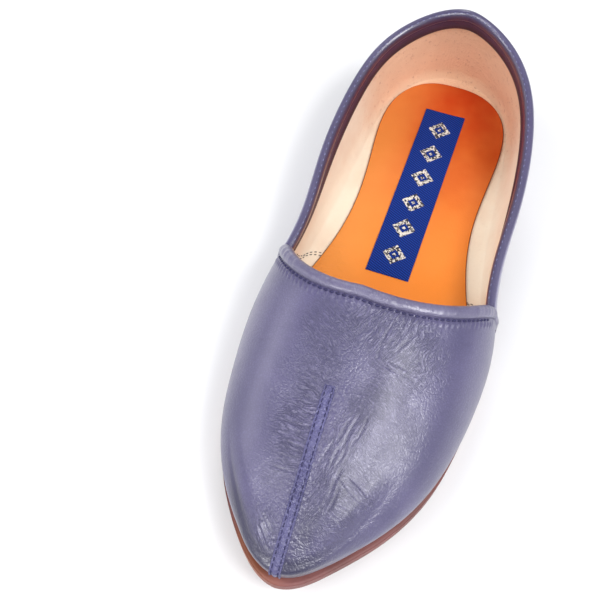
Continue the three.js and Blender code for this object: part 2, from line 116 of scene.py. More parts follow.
# Half widths at the widest level: share of the length from the heel, named width, outer and inner shares.
OUTLINE_ROWS = [
    (0.05, HEEL_WIDTH, 0.384, 0.35),
    (0.12, HEEL_WIDTH, 0.514, 0.468),
    (0.22, HEEL_WIDTH, 0.566, 0.505),
    (0.34, BALL_WIDTH, 0.423, 0.373),
    (0.46, BALL_WIDTH, 0.474, 0.409),
    (0.58, BALL_WIDTH, 0.539, 0.463),
    (0.66, BALL_WIDTH, 0.536, 0.467),
    (0.74, BALL_WIDTH, 0.504, 0.443),
    (0.82, BALL_WIDTH, 0.441, 0.399),
    (0.9, BALL_WIDTH, 0.316, 0.301),
    (0.96, BALL_WIDTH, 0.173, 0.176),
]
# The crest over the foot: share of the length, share of the instep height.
CREST_ROWS = [
    (0.1, 2.25), (0.3, 1.725), (0.5, 1.17), (0.58, 1.005), (0.7, 0.867), (0.8, 0.734), (0.87, 0.64),
    (0.93, 0.557), (1.0, 0.5),
]
# The collar: degrees of turn from the heel back, named height, its share, and the outer and inner flare.
COLLAR_ROWS = [
    (0, HEEL_BACK_HEIGHT, 1.0, -1.66, -1.66),
    (29, HEEL_BACK_HEIGHT, 0.881, -0.75, -0.375),
    (52, HEEL_BACK_HEIGHT, 0.739, 0.54, 0.95),
    (74, CORNER_HEIGHT, 1.21, 0.84, 0.97),
    (94, CORNER_HEIGHT, 1.0, 0.0, 0.0),
]
# The lining that shows beside the sock: degrees of turn, outer and inner shares of the lasting margin.
LINING_ROWS = [(0, 0.54, 0.54), (34, 0.0, 0.0), (69, 0.7, 0.73), (109, 0.14, 0.13), (140, 0, 0), (180, 0, 0)]
THROAT_TURN = math.radians(COLLAR_ROWS[-1][0])
THROAT_TURN_WIDTH = HALF * math.sin(THROAT_TURN)


def smooth_curve(places, values, level_start=False, level_end=False):
    """A smooth curve through the rows of a table, level at the ends that ask for it."""
    x = np.array(places, float)
    y = np.array(values, float)
    count = len(x)
    step = np.diff(x)
    slope = np.diff(y) / step
    system = np.eye(count)
    turns = np.zeros(count)
    for i in range(1, count - 1):
        span = step[i - 1] + step[i]
        system[i, i - 1:i + 2] = step[i - 1] / span, 2, step[i] / span
        turns[i] = 6 * (slope[i] - slope[i - 1]) / span
    if level_start:
        system[0, :2] = 2, 1
        turns[0] = 6 * slope[0] / step[0]
    if level_end:
        system[-1, -2:] = 1, 2
        turns[-1] = -6 * slope[-1] / step[-1]
    bends = np.linalg.solve(system, turns)

    def curve(place):
        i = np.clip(np.searchsorted(x, place, side="left") - 1, 0, count - 2)
        span = step[i]
        before = (x[i + 1] - place) / span
        after = (place - x[i]) / span
        curl = (before**3 - before) * bends[i] + (after**3 - after) * bends[i + 1]
        return before * y[i] + after * y[i + 1] + curl * span * span / 6

    return curve


def width_curve(column):
    turns = [math.acos(1 - 2 * row[0]) for row in OUTLINE_ROWS]
    shares = [row[column] * row[1] / math.sin(turn) for row, turn in zip(OUTLINE_ROWS, turns)]
    return smooth_curve([0, *turns, math.pi], [HEEL_ROUND, *shares, TOE_ROUND], True, True)


def turn_curve(rows, value, level_end):
    turns = [math.radians(row[0]) for row in rows]
    return smooth_curve(turns, [value(row) for row in rows], True, level_end)


OUTER_WIDTH = width_curve(2)
INNER_WIDTH = width_curve(3)
OUTER_FLARE = turn_curve(COLLAR_ROWS, lambda row: row[3] * COLLAR_FLARE, True)
INNER_FLARE = turn_curve(COLLAR_ROWS, lambda row: row[4] * COLLAR_FLARE, True)
OUTER_LINING = turn_curve(LINING_ROWS, lambda row: row[1] * LASTING_MARGIN, True)
INNER_LINING = turn_curve(LINING_ROWS, lambda row: row[2] * LASTING_MARGIN, True)
COLLAR_HEIGHT = turn_curve(COLLAR_ROWS, lambda row: row[1] * row[2], False)
CREST_HEIGHT = smooth_curve([row[0] for row in CREST_ROWS], [row[1] * INSTEP_HEIGHT for row in CREST_ROWS])


def share_of_place(y):
    return (HALF - y) / SHOE_LENGTH


def spring_at(share):
    return TOE_SPRING * np.clip((share - 0.62) / 0.38, 0, 1) ** 2


def sole_top_at(y):
    share = np.clip(share_of_place(y), 0, 1)
    heel = (HEEL_SOLE - FOREFOOT_SOLE) * np.clip(1 - share / 0.55, 0, 1) ** 1.5
    return FOREFOOT_SOLE + heel + spring_at(share)


def sole_under_at(y):
    share = np.clip(share_of_place(y), 0, 1)
    return ARCH_RISE * np.sin(math.pi * np.clip((share - 0.24) / 0.26, 0, 1)) ** 2 + spring_at(share)


def swing_at(share):
    return TOE_SWING * np.clip((share - 0.5) / 0.5, 0, 1) ** 2


def eased(value, low, high):
    """0 below low, 1 above high, and smooth between them."""
    t = np.clip((value - low) / (high - low), 0, 1)
    return t * t * (3 - 2 * t)


def bell(value, middle, reach):
    """1 at the middle, and falling smoothly to nothing about two reaches away."""
    return np.exp(-(((value - middle) / reach) ** 2))


class Station:
    """Upright sections of the last at angles: 0 at the heel back, pi at the toe, negative inside."""

    def __init__(self, angle):
        angle = np.asarray(angle, float)
        outer = angle >= 0
        self.turn = np.abs(angle)
        share = (1 - np.cos(self.turn)) / 2
        width = np.where(outer, OUTER_WIDTH(self.turn), -INNER_WIDTH(self.turn))
        self.edge = np.stack([swing_at(share) + width * np.sin(self.turn), HALF * np.cos(self.turn)], -1)
        crest_y = CREST_MIDDLE + CREST_REACH * np.cos(self.turn)
        self.crest_share = share_of_place(crest_y)
        lean = RIDGE_LEAN * bell(self.crest_share, 0.6, 0.25)
        self.crest = np.stack([swing_at(self.crest_share) - lean, crest_y], -1)
        self.depth = np.linalg.norm(self.edge - self.crest, axis=-1)
        self.foot = sole_top_at(self.at(FOOT_TUCK, 0)[..., 1]) + CLEARANCE
        self.wide = self.foot + SIDE_ROUND
        extra = (HEEL_FULLNESS - WALL_FULLNESS) * np.clip(1 - self.turn / 1.7, 0, 1)
        self.power = 2 / (WALL_FULLNESS + extra)
        self.collar = COLLAR_HEIGHT(np.minimum(self.turn, THROAT_TURN))
        flare = np.where(outer, OUTER_FLARE(self.turn), INNER_FLARE(self.turn))
        self.flare = np.where(self.turn < THROAT_TURN, flare, 0)
        self.lining = np.maximum(np.where(outer, OUTER_LINING(self.turn), INNER_LINING(self.turn)), 0)

    def at(self, inset, z):
        """The point that lies an inset inside the widest outline, at a height."""
        out = (1 - inset / self.depth)[..., None]
        plan = self.crest + (self.edge - self.crest) * out
        return np.concatenate([plan, np.broadcast_to(z, plan.shape[:-1])[..., None]], -1)


def skin(angle, rise):
    """Points of the upper's outside: rise is -1 at the sole, 0 at the widest level and 1 at the crest."""
    s = Station(angle)
    rise = np.asarray(rise, float)
    lift = np.clip(rise, 0, 1) * math.pi / 2
    down = np.clip(-rise, 0, 1)
    inward = np.where(rise >= 0, s.depth * (1 - np.abs(np.cos(lift)) ** s.power), FOOT_TUCK * down**2)
    crest = CREST_HEIGHT(np.maximum(s.crest_share, share_of_place(s.at(inward, 0)[..., 1])))
    z = np.where(rise >= 0, s.wide + (crest - s.wide) * np.sin(lift) ** s.power, s.wide - SIDE_ROUND * down)
    spread = s.flare * np.clip((z - s.foot) / (s.collar - s.foot), 0, 1.2)
    return s.at(inward - spread, z)


def rise_at(angle, z):
    """The rise at which the wall reaches a height."""
    s = Station(angle)
    crest = CREST_HEIGHT(s.crest_share)
    height = np.clip((z - s.wide) / (crest - s.wide), 0, 1)
    return np.where(z < s.wide, (z - s.wide) / SIDE_ROUND, np.arcsin(height ** (1 / s.power)) * 2 / math.pi)


def unit(v):
    return v / np.maximum(np.linalg.norm(v, axis=-1, keepdims=True), 1e-9)


def skin_normal(angle, rise):
    """The direction out of the upper."""
    nudge = 1e-3
    rise = np.minimum(rise, 1 - 2 * nudge)
    along = skin(angle + nudge, rise) - skin(angle - nudge, rise)
    up = skin(angle, rise + nudge) - skin(angle, rise - nudge)
    return unit(np.cross(up, along))


CORNER_RISE = float(rise_at(THROAT_TURN, COLLAR_HEIGHT(THROAT_TURN)))
THROAT_CREST_TURN = math.acos(math.cos(THROAT_TURN) - THROAT_REACH / CREST_REACH)


def seam_turn(up):
    return THROAT_TURN - SIDE_SEAM_LEAN / THROAT_TURN_WIDTH * (1 - up)


def vamp_place(side, up, ahead):
    """Angle and rise on the vamp: up is 0 at the sole, 1 at the throat corner and 2 at the crest."""
    above = np.clip(up - 1, 0, 1)
    throat = THROAT_TURN + (THROAT_CREST_TURN - THROAT_TURN) * np.sin(above * math.pi / 2) ** THROAT_EASE
    edge = np.where(up <= 1, seam_turn(up), throat)
    rise = np.where(up <= 1, -1 + up * (CORNER_RISE + 1), CORNER_RISE + (1 - CORNER_RISE) * above)
    return side * np.minimum(edge + ahead, math.pi), rise


def vamp_edge_turn(up):
    angle, _ = vamp_place(1, up, 0)
    return angle


def quarter_place(across, up):
    """Angle and rise on the quarter: across is -1 to 1 between its seams, up 0 to 1 from sole to collar."""
    end = np.minimum(np.abs(across), 1) * THROAT_TURN
    collar_rise = rise_at(end, COLLAR_HEIGHT(end))
    return across * seam_turn(up), -1 + up * (collar_rise + 1)


def off_skin(angle, rise, off):
    return skin(angle, rise) + skin_normal(angle, rise) * np.asarray(off)[..., None]


def quarter_point(across, up, off=0.0):
    return off_skin(*quarter_place(across, up), off)


def vamp_point(side, up, ahead, off=0.0):
    return off_skin(*vamp_place(side, up, ahead), off)


def turn_ahead(side, up, distance):
    """The turn that lies a distance ahead of the vamp's edge, measured square to it."""
    nudge = 0.002
    here = vamp_point(side, up, nudge)
    along = unit(vamp_point(side, up - nudge, nudge) - vamp_point(side, np.minimum(up + nudge, 2), nudge))
    forward = (vamp_point(side, up, 2 * nudge) - here) / nudge
    square = forward - along * (forward * along).sum(-1, keepdims=True)
    return distance / np.linalg.norm(square, axis=-1)


def sole_edge(turn, inset):
    """Plan points of the sole's edge on both sides, outer side first."""
    welt = HEEL_WELT + (TOE_WELT - HEEL_WELT) * turn / math.pi
    return Station(turn).at(FOOT_TUCK - welt + inset, 0), Station(-turn).at(FOOT_TUCK - welt + inset, 0)


def frame_shift():
    """From the last's own middle to the frame's, worked out from where the sole's edge lies in both."""
    turns = np.linspace(0, math.pi, SOLE_ROWS + 1)
    edge = np.concatenate(sole_edge(turns, 0.0))
    low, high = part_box("outsole")
    x = (low.x + high.x) / 2 / MM - (edge[:, 0].min() + edge[:, 0].max()) / 2
    y = (low.y + high.y) / 2 / MM - (edge[:, 1].min() + edge[:, 1].max()) / 2
    return np.array([x, y, 0.0])


SHIFT = frame_shift()


def placed(points):
    """Points of the last, in the frame's metres."""
    return (np.asarray(points) + SHIFT) * MM


def bent_sheet(name, columns, rows, shape, weld=0.05, marks=None, reverse=True):
    """A grid bent to the last: shape gives the points, and marks what is stored, for its two shares."""
    bm = bmesh.new()
    bm.loops.layers.uv.new("UVMap")
    bmesh.ops.create_grid(bm, x_segments=columns, y_segments=rows, size=0.5, calc_uvs=True)
    u, v, _ = np.array([vert.co for vert in bm.verts]).T + 0.5
    for vert, point in zip(bm.verts, placed(shape(u, v))):
        vert.co = point
    marked = marks(u, v) if marks else {}
    for label, values in marked.items():
        layer = bm.verts.layers.float.new(label)
        for vert, value in zip(bm.verts, values):
            vert[layer] = value
    if weld:
        bmesh.ops.remove_doubles(bm, verts=bm.verts, dist=weld * MM)
    if reverse:
        bmesh.ops.reverse_faces(bm, faces=bm.faces)
    return made_object(name, bm)


def made_object(name, bm):
    """The object of a finished bmesh, smooth and at the origin."""
    mesh = bpy.data.meshes.new(name)
    bm.to_mesh(mesh)
    bm.free()
    for face in mesh.polygons:
        face.use_smooth = True
    piece = bpy.data.objects.new(name, mesh)
    bpy.context.scene.collection.objects.link(piece)
    return piece


def dress(piece, material, node):
    """Gives a piece its finish, and has it stand for a node of the frame."""
    piece.data.materials.append(material)
    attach(piece, "root")
    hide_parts(node)
    return piece


def vamp_shares(u, v):
    """Side, up and ahead on the vamp: u runs from the outer seam round the toe to the inner one."""
    side = np.where(u <= 0.5, 1.0, -1.0)
    past = (v - VAMP_SIDE_SHARE) / (1 - VAMP_SIDE_SHARE)
    up = np.where(v <= VAMP_SIDE_SHARE, v / VAMP_SIDE_SHARE, 1 + past)
    edge = vamp_edge_turn(up)
    share = 1 - np.abs(2 * u - 1)
    return side, up, (math.pi - edge) * share, share


def run_along(points):
    """The distance run at each of a row of points."""
    return np.concatenate([[0], np.cumsum(np.linalg.norm(np.diff(points, axis=0), axis=1))])


def throat_run(side, up):
    """The distance along the throat's edge from the crest, in millimetres, negative on the inner side."""
    ups = np.linspace(1, 2, 121)
    outer, inner = (run_along(vamp_point(np.full(121, way), ups, 0.0)) for way in (1.0, -1.0))
    return np.where(side > 0, outer[-1] - np.interp(up, ups, outer), np.interp(up, ups, inner) - inner[-1])


def vamp_leather(u, v):
    """The vamp's leather: a step over the quarter, thinned at the throat and puckered at its stitches."""
    side, up, ahead, share = vamp_shares(u, v)
    angle, rise = vamp_place(side, up, ahead)
    base = skin(angle, rise)
    normal = skin_normal(angle, rise)
    inside = ahead / turn_ahead(side, np.clip(up, 0.02, 1.98), 1.0)
    edge = np.sqrt(np.clip(1 - (1 - np.clip(inside / 1.1, 0, 1)) ** 2, 0, 1))
    thinned = np.where(up > 1, eased(inside, *THROAT_THINNED), edge)
    proud = VAMP_STEP * thinned * eased(up, -0.02, 0.12)
    proud = np.where(share == 0, -0.6, proud)
    relief = vamp_relief(base, angle) * eased(inside, 0.5, 3.0)
    puckers = bell(inside, THROAT_PUCKERS, 1.2) * np.sin(2 * math.pi * throat_run(side, up) / THROAT_STITCH)
    relief += eased(up, 1.0, 1.05) * (0.26 * puckers - 0.35 * bell(inside, THROAT_GROOVE, 0.8))
    return base + normal * (proud + relief)[:, None]


# The main creases, in the shoe's own plan: from x, y to x, y, then half width, depth and bow.
CREASES = [
    (-13.5, -44.9, -2.8, -51.5, 0.7, 0.28, 0), (-9.6, -48.6, 3.9, -57.5, 0.9, 0.38, 0.9),
    (-11.8, -51.5, 1.1, -57.4, 0.7, 0.25, -1.1), (-17.4, -50.1, -6.4, -56.4, 0.7, 0.22, 0.8),
    (-13, -55.1, -0.5, -61.3, 0.7, 0.25, -0.2), (-19, -53.4, -10.1, -58.2, 0.6, 0.15, -0.4),
    (-13.4, -67.8, -3, -71.8, 0.7, 0.22, 0.9), (-14.7, -72.8, -3.1, -76.6, 0.8, 0.3, -0.9),
    (-10.9, -75.9, -1.8, -78, 0.7, 0.28, 0.3), (-11.9, -70.1, -1.6, -73.7, 0.6, 0.2, 0.3),
    (-17.4, -66.7, -8, -68.8, 0.6, 0.12, -0.7), (8.5, -44.3, 3.9, -52.6, 0.7, 0.3, 0.7),
    (10.9, -43.7, 5.6, -55.6, 0.8, 0.4, -0.5), (12.6, -42.9, 9.6, -53.5, 0.7, 0.35, -0.2),
    (15.5, -41.7, 12.8, -58.8, 0.9, 0.42, 1.1), (18.4, -41.5, 14.1, -53.8, 0.7, 0.35, -1),
    (21.7, -40.9, 17.5, -52, 0.7, 0.3, 0.6), (25, -40.7, 18.4, -55.1, 0.8, 0.36, 0.1),
    (27.6, -38.8, 22.9, -51.3, 0.7, 0.28, -0.8), (31.7, -37, 24.9, -52.6, 0.8, 0.34, 1.4),
    (33.6, -37.8, 27.6, -51, 0.7, 0.24, -0.9), (27.6, -51, 26.3, -55.4, 0.7, 0.28, 0),
    (13.8, -60, 26.3, -61, 0.8, 0.36, 0.6), (14.4, -60.5, 26, -64.4, 0.8, 0.34, -1),
    (16.4, -62.4, 23.3, -66.3, 0.7, 0.26, 0.6), (17.1, -58.7, 26.5, -59, 0.7, 0.22, -0.2),
    (11.6, -72.5, 18.9, -75, 0.7, 0.3, -0.3), (13.8, -70.9, 20.5, -74.1, 0.6, 0.24, 0.5),
    (23.1, -57.4, 28.9, -53.8, 0.5, 0.15, -0.5), (13.3, -81.2, 11.1, -95.3, 1, 0.5, 0.5),
    (10.8, -82.3, 8.5, -93.3, 0.8, 0.35, 0.2), (16.2, -80.9, 14, -91.3, 0.7, 0.28, -0.7),
    (15.3, -76.6, 21.3, -78.9, 0.7, 0.25, 0.5), (20.5, -80.9, 28, -83.8, 0.6, 0.2, -0.4),
    (7.3, -93.1, 4.1, -104.1, 1, 0.42, -0.1), (10.6, -93.2, 9, -102.8, 0.9, 0.4, 0.6),
    (11.9, -91.1, 10.6, -101, 0.7, 0.3, -0.8), (13, -101.7, 11.8, -111, 1, 0.45, 0.6),
    (11.8, -111, 8.6, -122.5, 1.1, 0.5, -0.1), (14.1, -107.9, 11.2, -119.7, 0.8, 0.3, -0.6),
    (7.8, -103.6, 5.2, -112.1, 0.7, 0.2, 0.7), (14.3, -103.7, 26.2, -108.8, 0.8, 0.4, -0.9),
    (15.4, -102.8, 27.7, -107.8, 0.7, 0.3, 0.3), (13, -105.2, 22.9, -110.1, 0.7, 0.28, 0.4),
    (17.5, -101.1, 28.1, -104.6, 0.6, 0.22, -0.8), (18.9, -99.4, 27.5, -101.9, 0.6, 0.18, 0.7),
    (13.9, -113.6, 21.4, -114.1, 0.6, 0.22, -0.3), (13.4, -116.8, 20.1, -119.1, 0.6, 0.22, -0.2),
    (12.2, -119, 17.2, -121.9, 0.6, 0.2, 0.4), (11, -122.1, 15.7, -125.7, 0.6, 0.2, -0.5),
    (7.5, -121.3, 11.7, -131.7, 0.9, 0.3, 0.5), (-12.2, -82.8, -0.7, -84.1, 0.8, 0.3, 0.1),
    (-11.4, -79.1, -1.3, -79.7, 0.8, 0.3, -0.6), (-13.5, -87.1, -1.8, -86.1, 0.8, 0.34, 0.9),
    (-13.5, -89.2, -1.9, -89.3, 0.9, 0.42, -0.7), (-11.4, -91.8, -1.7, -91.9, 0.9, 0.42, 0),
    (-12.1, -93.8, -1.2, -94.4, 0.9, 0.48, 0.6), (-12.6, -96.2, -1, -97, 0.9, 0.5, -0.9),
    (-11, -98.3, -1.5, -99.1, 0.9, 0.42, 0.6), (-10.7, -100.5, -1, -101.5, 0.8, 0.3, -0.2),
    (-12.5, -103.7, -1.2, -104.2, 0.7, 0.22, -0.4), (-12, -107.7, -1.1, -107.2, 0.7, 0.2, 0.8),
    (-19.7, -87.3, -14, -81.8, 0.7, 0.2, -0.6), (-19.8, -90, -14, -84.4, 0.6, 0.16, 0.3),
    (-12.9, -128.2, -5.1, -136.2, 0.7, 0.3, 0.3), (-11.6, -126.8, -3, -136.5, 0.7, 0.3, -0.9),
    (-9.6, -126, -1.3, -136.5, 0.7, 0.3, 1), (-7.9, -124.9, -1.2, -134, 0.7, 0.26, -0.5),
    (-12, -132, -6.7, -136.5, 0.6, 0.22, -0.1), (-17.8, -122.4, -3.1, -119.6, 0.8, 0.26, 5.2),
    (-15.8, -124, -4, -121.6, 0.7, 0.24, 4.4), (-18.5, -119, -4.5, -116, 0.6, 0.16, 4.4),
    (-13.8, -125.4, -5.2, -124.2, 0.6, 0.2, 3),
]
CREASE_WIDTH = 0.62
CREASE_DEPTH = 0.3
# The edge of the stiffener in the toe, as turns and heights above the sole, on each side.
LEDGE_OUTER = ([2.25, 2.32, 2.48, 2.61, 2.77, 2.94, 3.142], [28.0, 26.0, 20.3, 16.4, 14.2, 13.3, 12.9])
LEDGE_INNER = ([2.25, 2.45, 2.58, 2.68, 2.81, 2.94, 3.142], [23.0, 19.0, 16.8, 15.2, 13.8, 13.1, 12.9])
LEDGE_HEIGHT = 1.6
# Soft mounds and hollows under the leather: middle x, y, reach along x and y, and height.
MOUNDS = [
    (-8.0, -128.0, 5.5, 7.5, 0.9), (16.5, -119.0, 5.5, 9.0, 0.9), (21.0, -86.0, 9.0, 16.0, 0.5),
    (5.5, -112.0, 3.0, 16.0, -0.5), (9.0, -130.0, 3.0, 6.0, -0.5), (5.0, -52.0, 7.0, 10.0, -0.4),
    (24.0, -48.0, 9.0, 8.0, 0.45), (-20.0, -104.0, 7.0, 12.0, 0.3), (12.0, -66.0, 5.0, 8.0, -0.25),
]


def crease_relief(x, y):
    """Soft troughs along the main creases, each with a low ridge on both sides, and a mask of the troughs
    for painted shade.
    """
    relief = np.zeros(len(x))
    painted_crease_shade = np.zeros(len(x))
    for x0, y0, x1, y1, wide, depth, bend in CREASES:
        width = CREASE_WIDTH * wide
        length = math.hypot(x1 - x0, y1 - y0)
        ahead_x, ahead_y = (x1 - x0) / length, (y1 - y0) / length
        along = (x - x0) * ahead_x + (y - y0) * ahead_y
        near = np.flatnonzero((along > -3 * width) & (along < length + 3 * width))
        share = np.clip(along[near] / length, 0, 1)
        bow = bend * np.sin(math.pi * share)
        aside = (x[near] - x0) * ahead_y - (y[near] - y0) * ahead_x - bow
        taper = np.sin(math.pi * np.clip(0.06 + 0.88 * share, 0, 1)) ** 0.7
        past = np.maximum(np.maximum(-along[near], along[near] - length), 0)
        taper = taper * bell(past, 0, width)
        trough = bell(aside, 0, width)
        ridges = bell(np.abs(aside), 1.9 * width, width)
        relief[near] += taper * CREASE_DEPTH * depth * (0.5 * ridges - trough)
        painted_crease_shade[near] = np.maximum(painted_crease_shade[near], taper * trough * depth / 0.5)
    return relief, painted_crease_shade


def above_ledge(base, angle):
    """How high a point lies over the edge of the toe's stiffener, and how firmly that edge shows."""
    turn = np.abs(angle)
    ledge = np.where(angle >= 0, np.interp(turn, *LEDGE_OUTER), np.interp(turn, *LEDGE_INNER))
    return base[:, 2] - Station(angle).foot - ledge, eased(turn, 2.28, 2.6)


def vamp_relief(base, angle):
    """How far the vamp's leather stands out of the smooth last."""
    x, y = base[:, 0], base[:, 1]
    relief, _ = crease_relief(x, y)
    for middle_x, middle_y, reach_x, reach_y, height in MOUNDS:
        relief += height * bell(x, middle_x, reach_x) * bell(y, middle_y, reach_y)
    above, strength = above_ledge(base, angle)
    relief += strength * (LEDGE_HEIGHT * eased(above, -0.9, 4.2) - 0.25 * bell(above, -0.6, 0.9))
    relief -= strength * 0.5 * bell(above, -4.0, 3.0)
    beside = np.abs(x - swing_at(share_of_place(y)))
    seamed = eased(-y, TOE_SEAM_REACH, TOE_SEAM_REACH + 4) * eased(above, -2, 2)
    relief += 0.12 * seamed * bell(beside, 3.2, 0.9) * np.sin(2 * math.pi * y / SEAM_STITCH)
    relief -= 0.35 * seamed * bell(beside, 0, 3.4)
    return relief


def vamp_marks(u, v):
    """Where the main creases lie on the vamp, and where it lies under the stiffener's edge and on the toe,
    for painted shade in its colour.
    """
    side, up, ahead, _ = vamp_shares(u, v)
    angle, rise = vamp_place(side, up, ahead)
    base = skin(angle, rise)
    _, painted_crease_shade = crease_relief(base[:, 0], base[:, 1])
    above, _ = above_ledge(base, angle)
    turn = np.abs(angle)
    # Painted shade below the edge of the toe's stiffener, strongest toward the toe, with a further patch of
    # it on the toe.
    outer = eased(turn, 2.55, 2.95) * bell(np.minimum(above + 4.0, 0), 0, 6.0)
    inner = eased(turn, 2.35, 2.65) * bell(np.minimum(above + 2.4, 0), 0, 2.4)
    rim = np.where(angle >= 0, outer, inner) * eased(-above, -1.6, 0.6)
    rim = np.maximum(rim, 0.75 * bell(base[:, 0], 8.0, 4.5) * bell(base[:, 1], -127.0, 10.0))
    return {"crease": painted_crease_shade, "rim": rim}


def quarter_leather(u, v):
    return skin(*quarter_place((2 * u - 1) * QUARTER_REACH, v))


def floor_point(angle, inset):
    """A point of the lasting margin inside the shoe, where the lining lies on it."""
    s = Station(angle)
    p = s.at(np.minimum(inset, 0.7 * s.depth), 0.0)
    p[..., 2] = sole_top_at(p[..., 1]) + CLEARANCE + UPPER_WALL
    return p


def lining_path(v, wall, angle_at_foot):
    """From the top of the wall at v = 0, round the corner at the sole, to the margin under the sock."""
    top, corner_start = 0.99, 0.2
    share = np.minimum(v / LINING_WALL_END, 1)
    side = wall(top + (corner_start - top) * share)
    turn = np.clip((v - LINING_WALL_END) / LINING_CORNER, 0, 1)[:, None]
    corner = floor_point(angle_at_foot, FOOT_TUCK * 0.62 + UPPER_WALL)
    after = floor_point(angle_at_foot, FOOT_TUCK + UPPER_WALL + LINING_FOOT)
    rounded = side * (1 - turn) ** 2 + corner * 2 * turn * (1 - turn) + after * turn**2
    reached = LINING_WALL_END + LINING_CORNER
    far = np.clip((v - reached) / (1 - reached), 0, 1)
    floor = floor_point(angle_at_foot, FOOT_TUCK + UPPER_WALL + LINING_FOOT + LINING_RUN * far)
    return np.where((v > reached)[:, None], floor, rounded)


def quarter_lining(u, v):
    across = 2 * u - 1

    def wall(up):
        return quarter_point(across, up, -UPPER_WALL)

    return lining_path(v, wall, across * seam_turn(0.0))


def vamp_lining(u, v):
    """The lining under the vamp: from the crest down the wall to the margin."""
    side = np.where(u <= 0.5, 1.0, -1.0)
    share = 1 - np.abs(2 * u - 1)
    top = 0.6

    def wall(up):
        return vamp_point(side, up, (math.pi - vamp_edge_turn(up)) * share, -UPPER_WALL)

    upper = wall(np.where(v < top, 2 - v / top, 1.0))
    foot_turn = side * (seam_turn(0.0) + (math.pi - seam_turn(0.0)) * share)
    lower = lining_path(np.clip((v - top) / (1 - top), 0, 1), wall, foot_turn)
    return np.where((v < top)[:, None], upper, lower)


def sole_section(u, v):
    """The sole: v goes from the middle of its top over the edge to the middle of its underside."""
    angle = (2 * u - 1) * math.pi
    s = Station(angle)
    welt = HEEL_WELT + (TOE_WELT - HEEL_WELT) * np.abs(angle) / math.pi
    edge = FOOT_TUCK - welt
    stops = [0.0, 0.12, SOLE_ROUND_START, SOLE_SIDE_START, 0.26, 0.5, 0.58, SOLE_SIDE_END, 0.7, 1.0]
    insets = [1.0, 0.2, 0.0, 0.0, 0.0, 0.0, 0.0, 0.0, 0.1, 1.0]
    trims = [0.0, 0.0, 0.9, 0.25, 0.0, 0.0, 0.0, 0.7, 2.2, 0.0]
    share = np.interp(v, stops, insets)
    trim = np.interp(v, stops, trims)
    inset = edge + trim + share * (s.depth - edge - trim)
    p = s.at(inset, 0.0)
    top = sole_top_at(p[:, 1])
    down = np.clip((v - SOLE_SIDE_START) / (SOLE_SIDE_END - SOLE_SIDE_START), 0, 1)
    p[:, 2] = top + (sole_under_at(p[:, 1]) - top) * down
    rounded = (v >= SOLE_ROUND_START) & (v < SOLE_SIDE_START)
    p[rounded, 2] = (top - 0.3 * (v - SOLE_ROUND_START) / (SOLE_SIDE_START - SOLE_ROUND_START))[rounded]
    return p


def sock_section(u, v):
    """The sock: v goes from under its edge, over the rolled edge, to its middle."""
    angle = (2 * u - 1) * math.pi
    s = Station(angle)
    under = 2 * CLEARANCE + UPPER_WALL
    tuck = FOOT_TUCK * (1 - (under - CLEARANCE) / SIDE_ROUND) ** 2
    plate = tuck + UPPER_WALL + 2 * CLEARANCE + s.lining
    stops = [0.0, 0.06, 0.09, 0.12, 0.16, 0.22, 1.0]
    trims = [6.0, 0.5, 0.0, 0.0, 0.5, 1.6, 1.6]
    lifts = [0.0, 0.0, 0.35, 0.9, 1.35, 1.45, 1.3]
    share = np.where(v > 0.22, (v - 0.22) / 0.78, 0.0)
    trim = np.interp(v, stops, trims)
    inset = plate + trim + share * (s.depth - plate - trim)
    p = s.at(inset, 0.0)
    dome = 0.25 * np.sin(math.pi * np.clip(share, 0, 1) / 2)
    p[:, 2] = sole_top_at(p[:, 1]) + under + np.interp(v, stops, lifts) + dome
    return p


def along_section(w, offs, downs):
    """Off and down at a share of a binding's section, smoothed between its rows."""
    run = run_along(np.stack([offs, downs], -1))
    stops = run / run[-1]
    return smooth_curve(stops, offs)(w), smooth_curve(stops, downs)(w)


def collar_point(across, off, down):
    """A point of the collar: off its outside, and down from its edge."""
    edge = quarter_point(across, np.ones(len(across)))
    below = quarter_point(across, np.full(len(across), 0.9))
    length = np.linalg.norm(edge - below, axis=-1) / 0.1
    rising = unit(edge - below)
    up = 1 - np.maximum(down, 0) / length
    return quarter_point(across, up, off) + rising * np.maximum(-down, 0)[:, None]


def throat_point(side, up, off, down):
    """A point of the throat: off the vamp's outside, and down ahead of its edge."""
    step = turn_ahead(side, up, 1.0)
    forward = unit(vamp_point(side, up, 2 * step) - vamp_point(side, up, step))
    point = vamp_point(side, up, turn_ahead(side, up, np.maximum(down, 0)), off)
    return point + forward * np.minimum(down, 0)[..., None]


COLLAR_ROLL = (
    [0.1, 0.95, 1.3, 1.35, 1.2, 0.2, -1.0, -2.2, -3.1, -3.35, -3.3, -2.9, -2.1],
    [4.7, 4.45, 3.4, 2.0, 0.2, -1.15, -1.45, -1.15, 0.1, 1.4, 2.9, 3.5, 3.6],
)
FACING = ([-2.1, -2.8, -2.9, -2.9, -2.8, -2.1], [2.6, 2.8, 5.0, 8.5, 10.8, 11.1])
THROAT_ROLL = (
    [0.2, 1.2, 1.9, 2.0, 1.6, 0.4, -1.0, -2.4, -3.3, -3.4, -3.3, -2.9, -2.1],
    [4.2, 3.9, 2.9, 1.5, 0.1, -1.1, -1.45, -1.1, 0.3, 2.0, 4.4, 5.0, 5.1],
)


def collar_roll(u, v):
    return collar_point((2 * u - 1) * 0.997, *along_section(v, *COLLAR_ROLL))


def collar_facing(u, v):
    return collar_point((2 * u - 1) * 0.99, *along_section(v, *FACING))


def throat_route(u, past):
    """Side and up along the throat, from a little past the outer corner to as far past the inner one."""
    return np.where(u <= 0.5, 1.0, -1.0), 2 - past * np.abs(2 * u - 1)


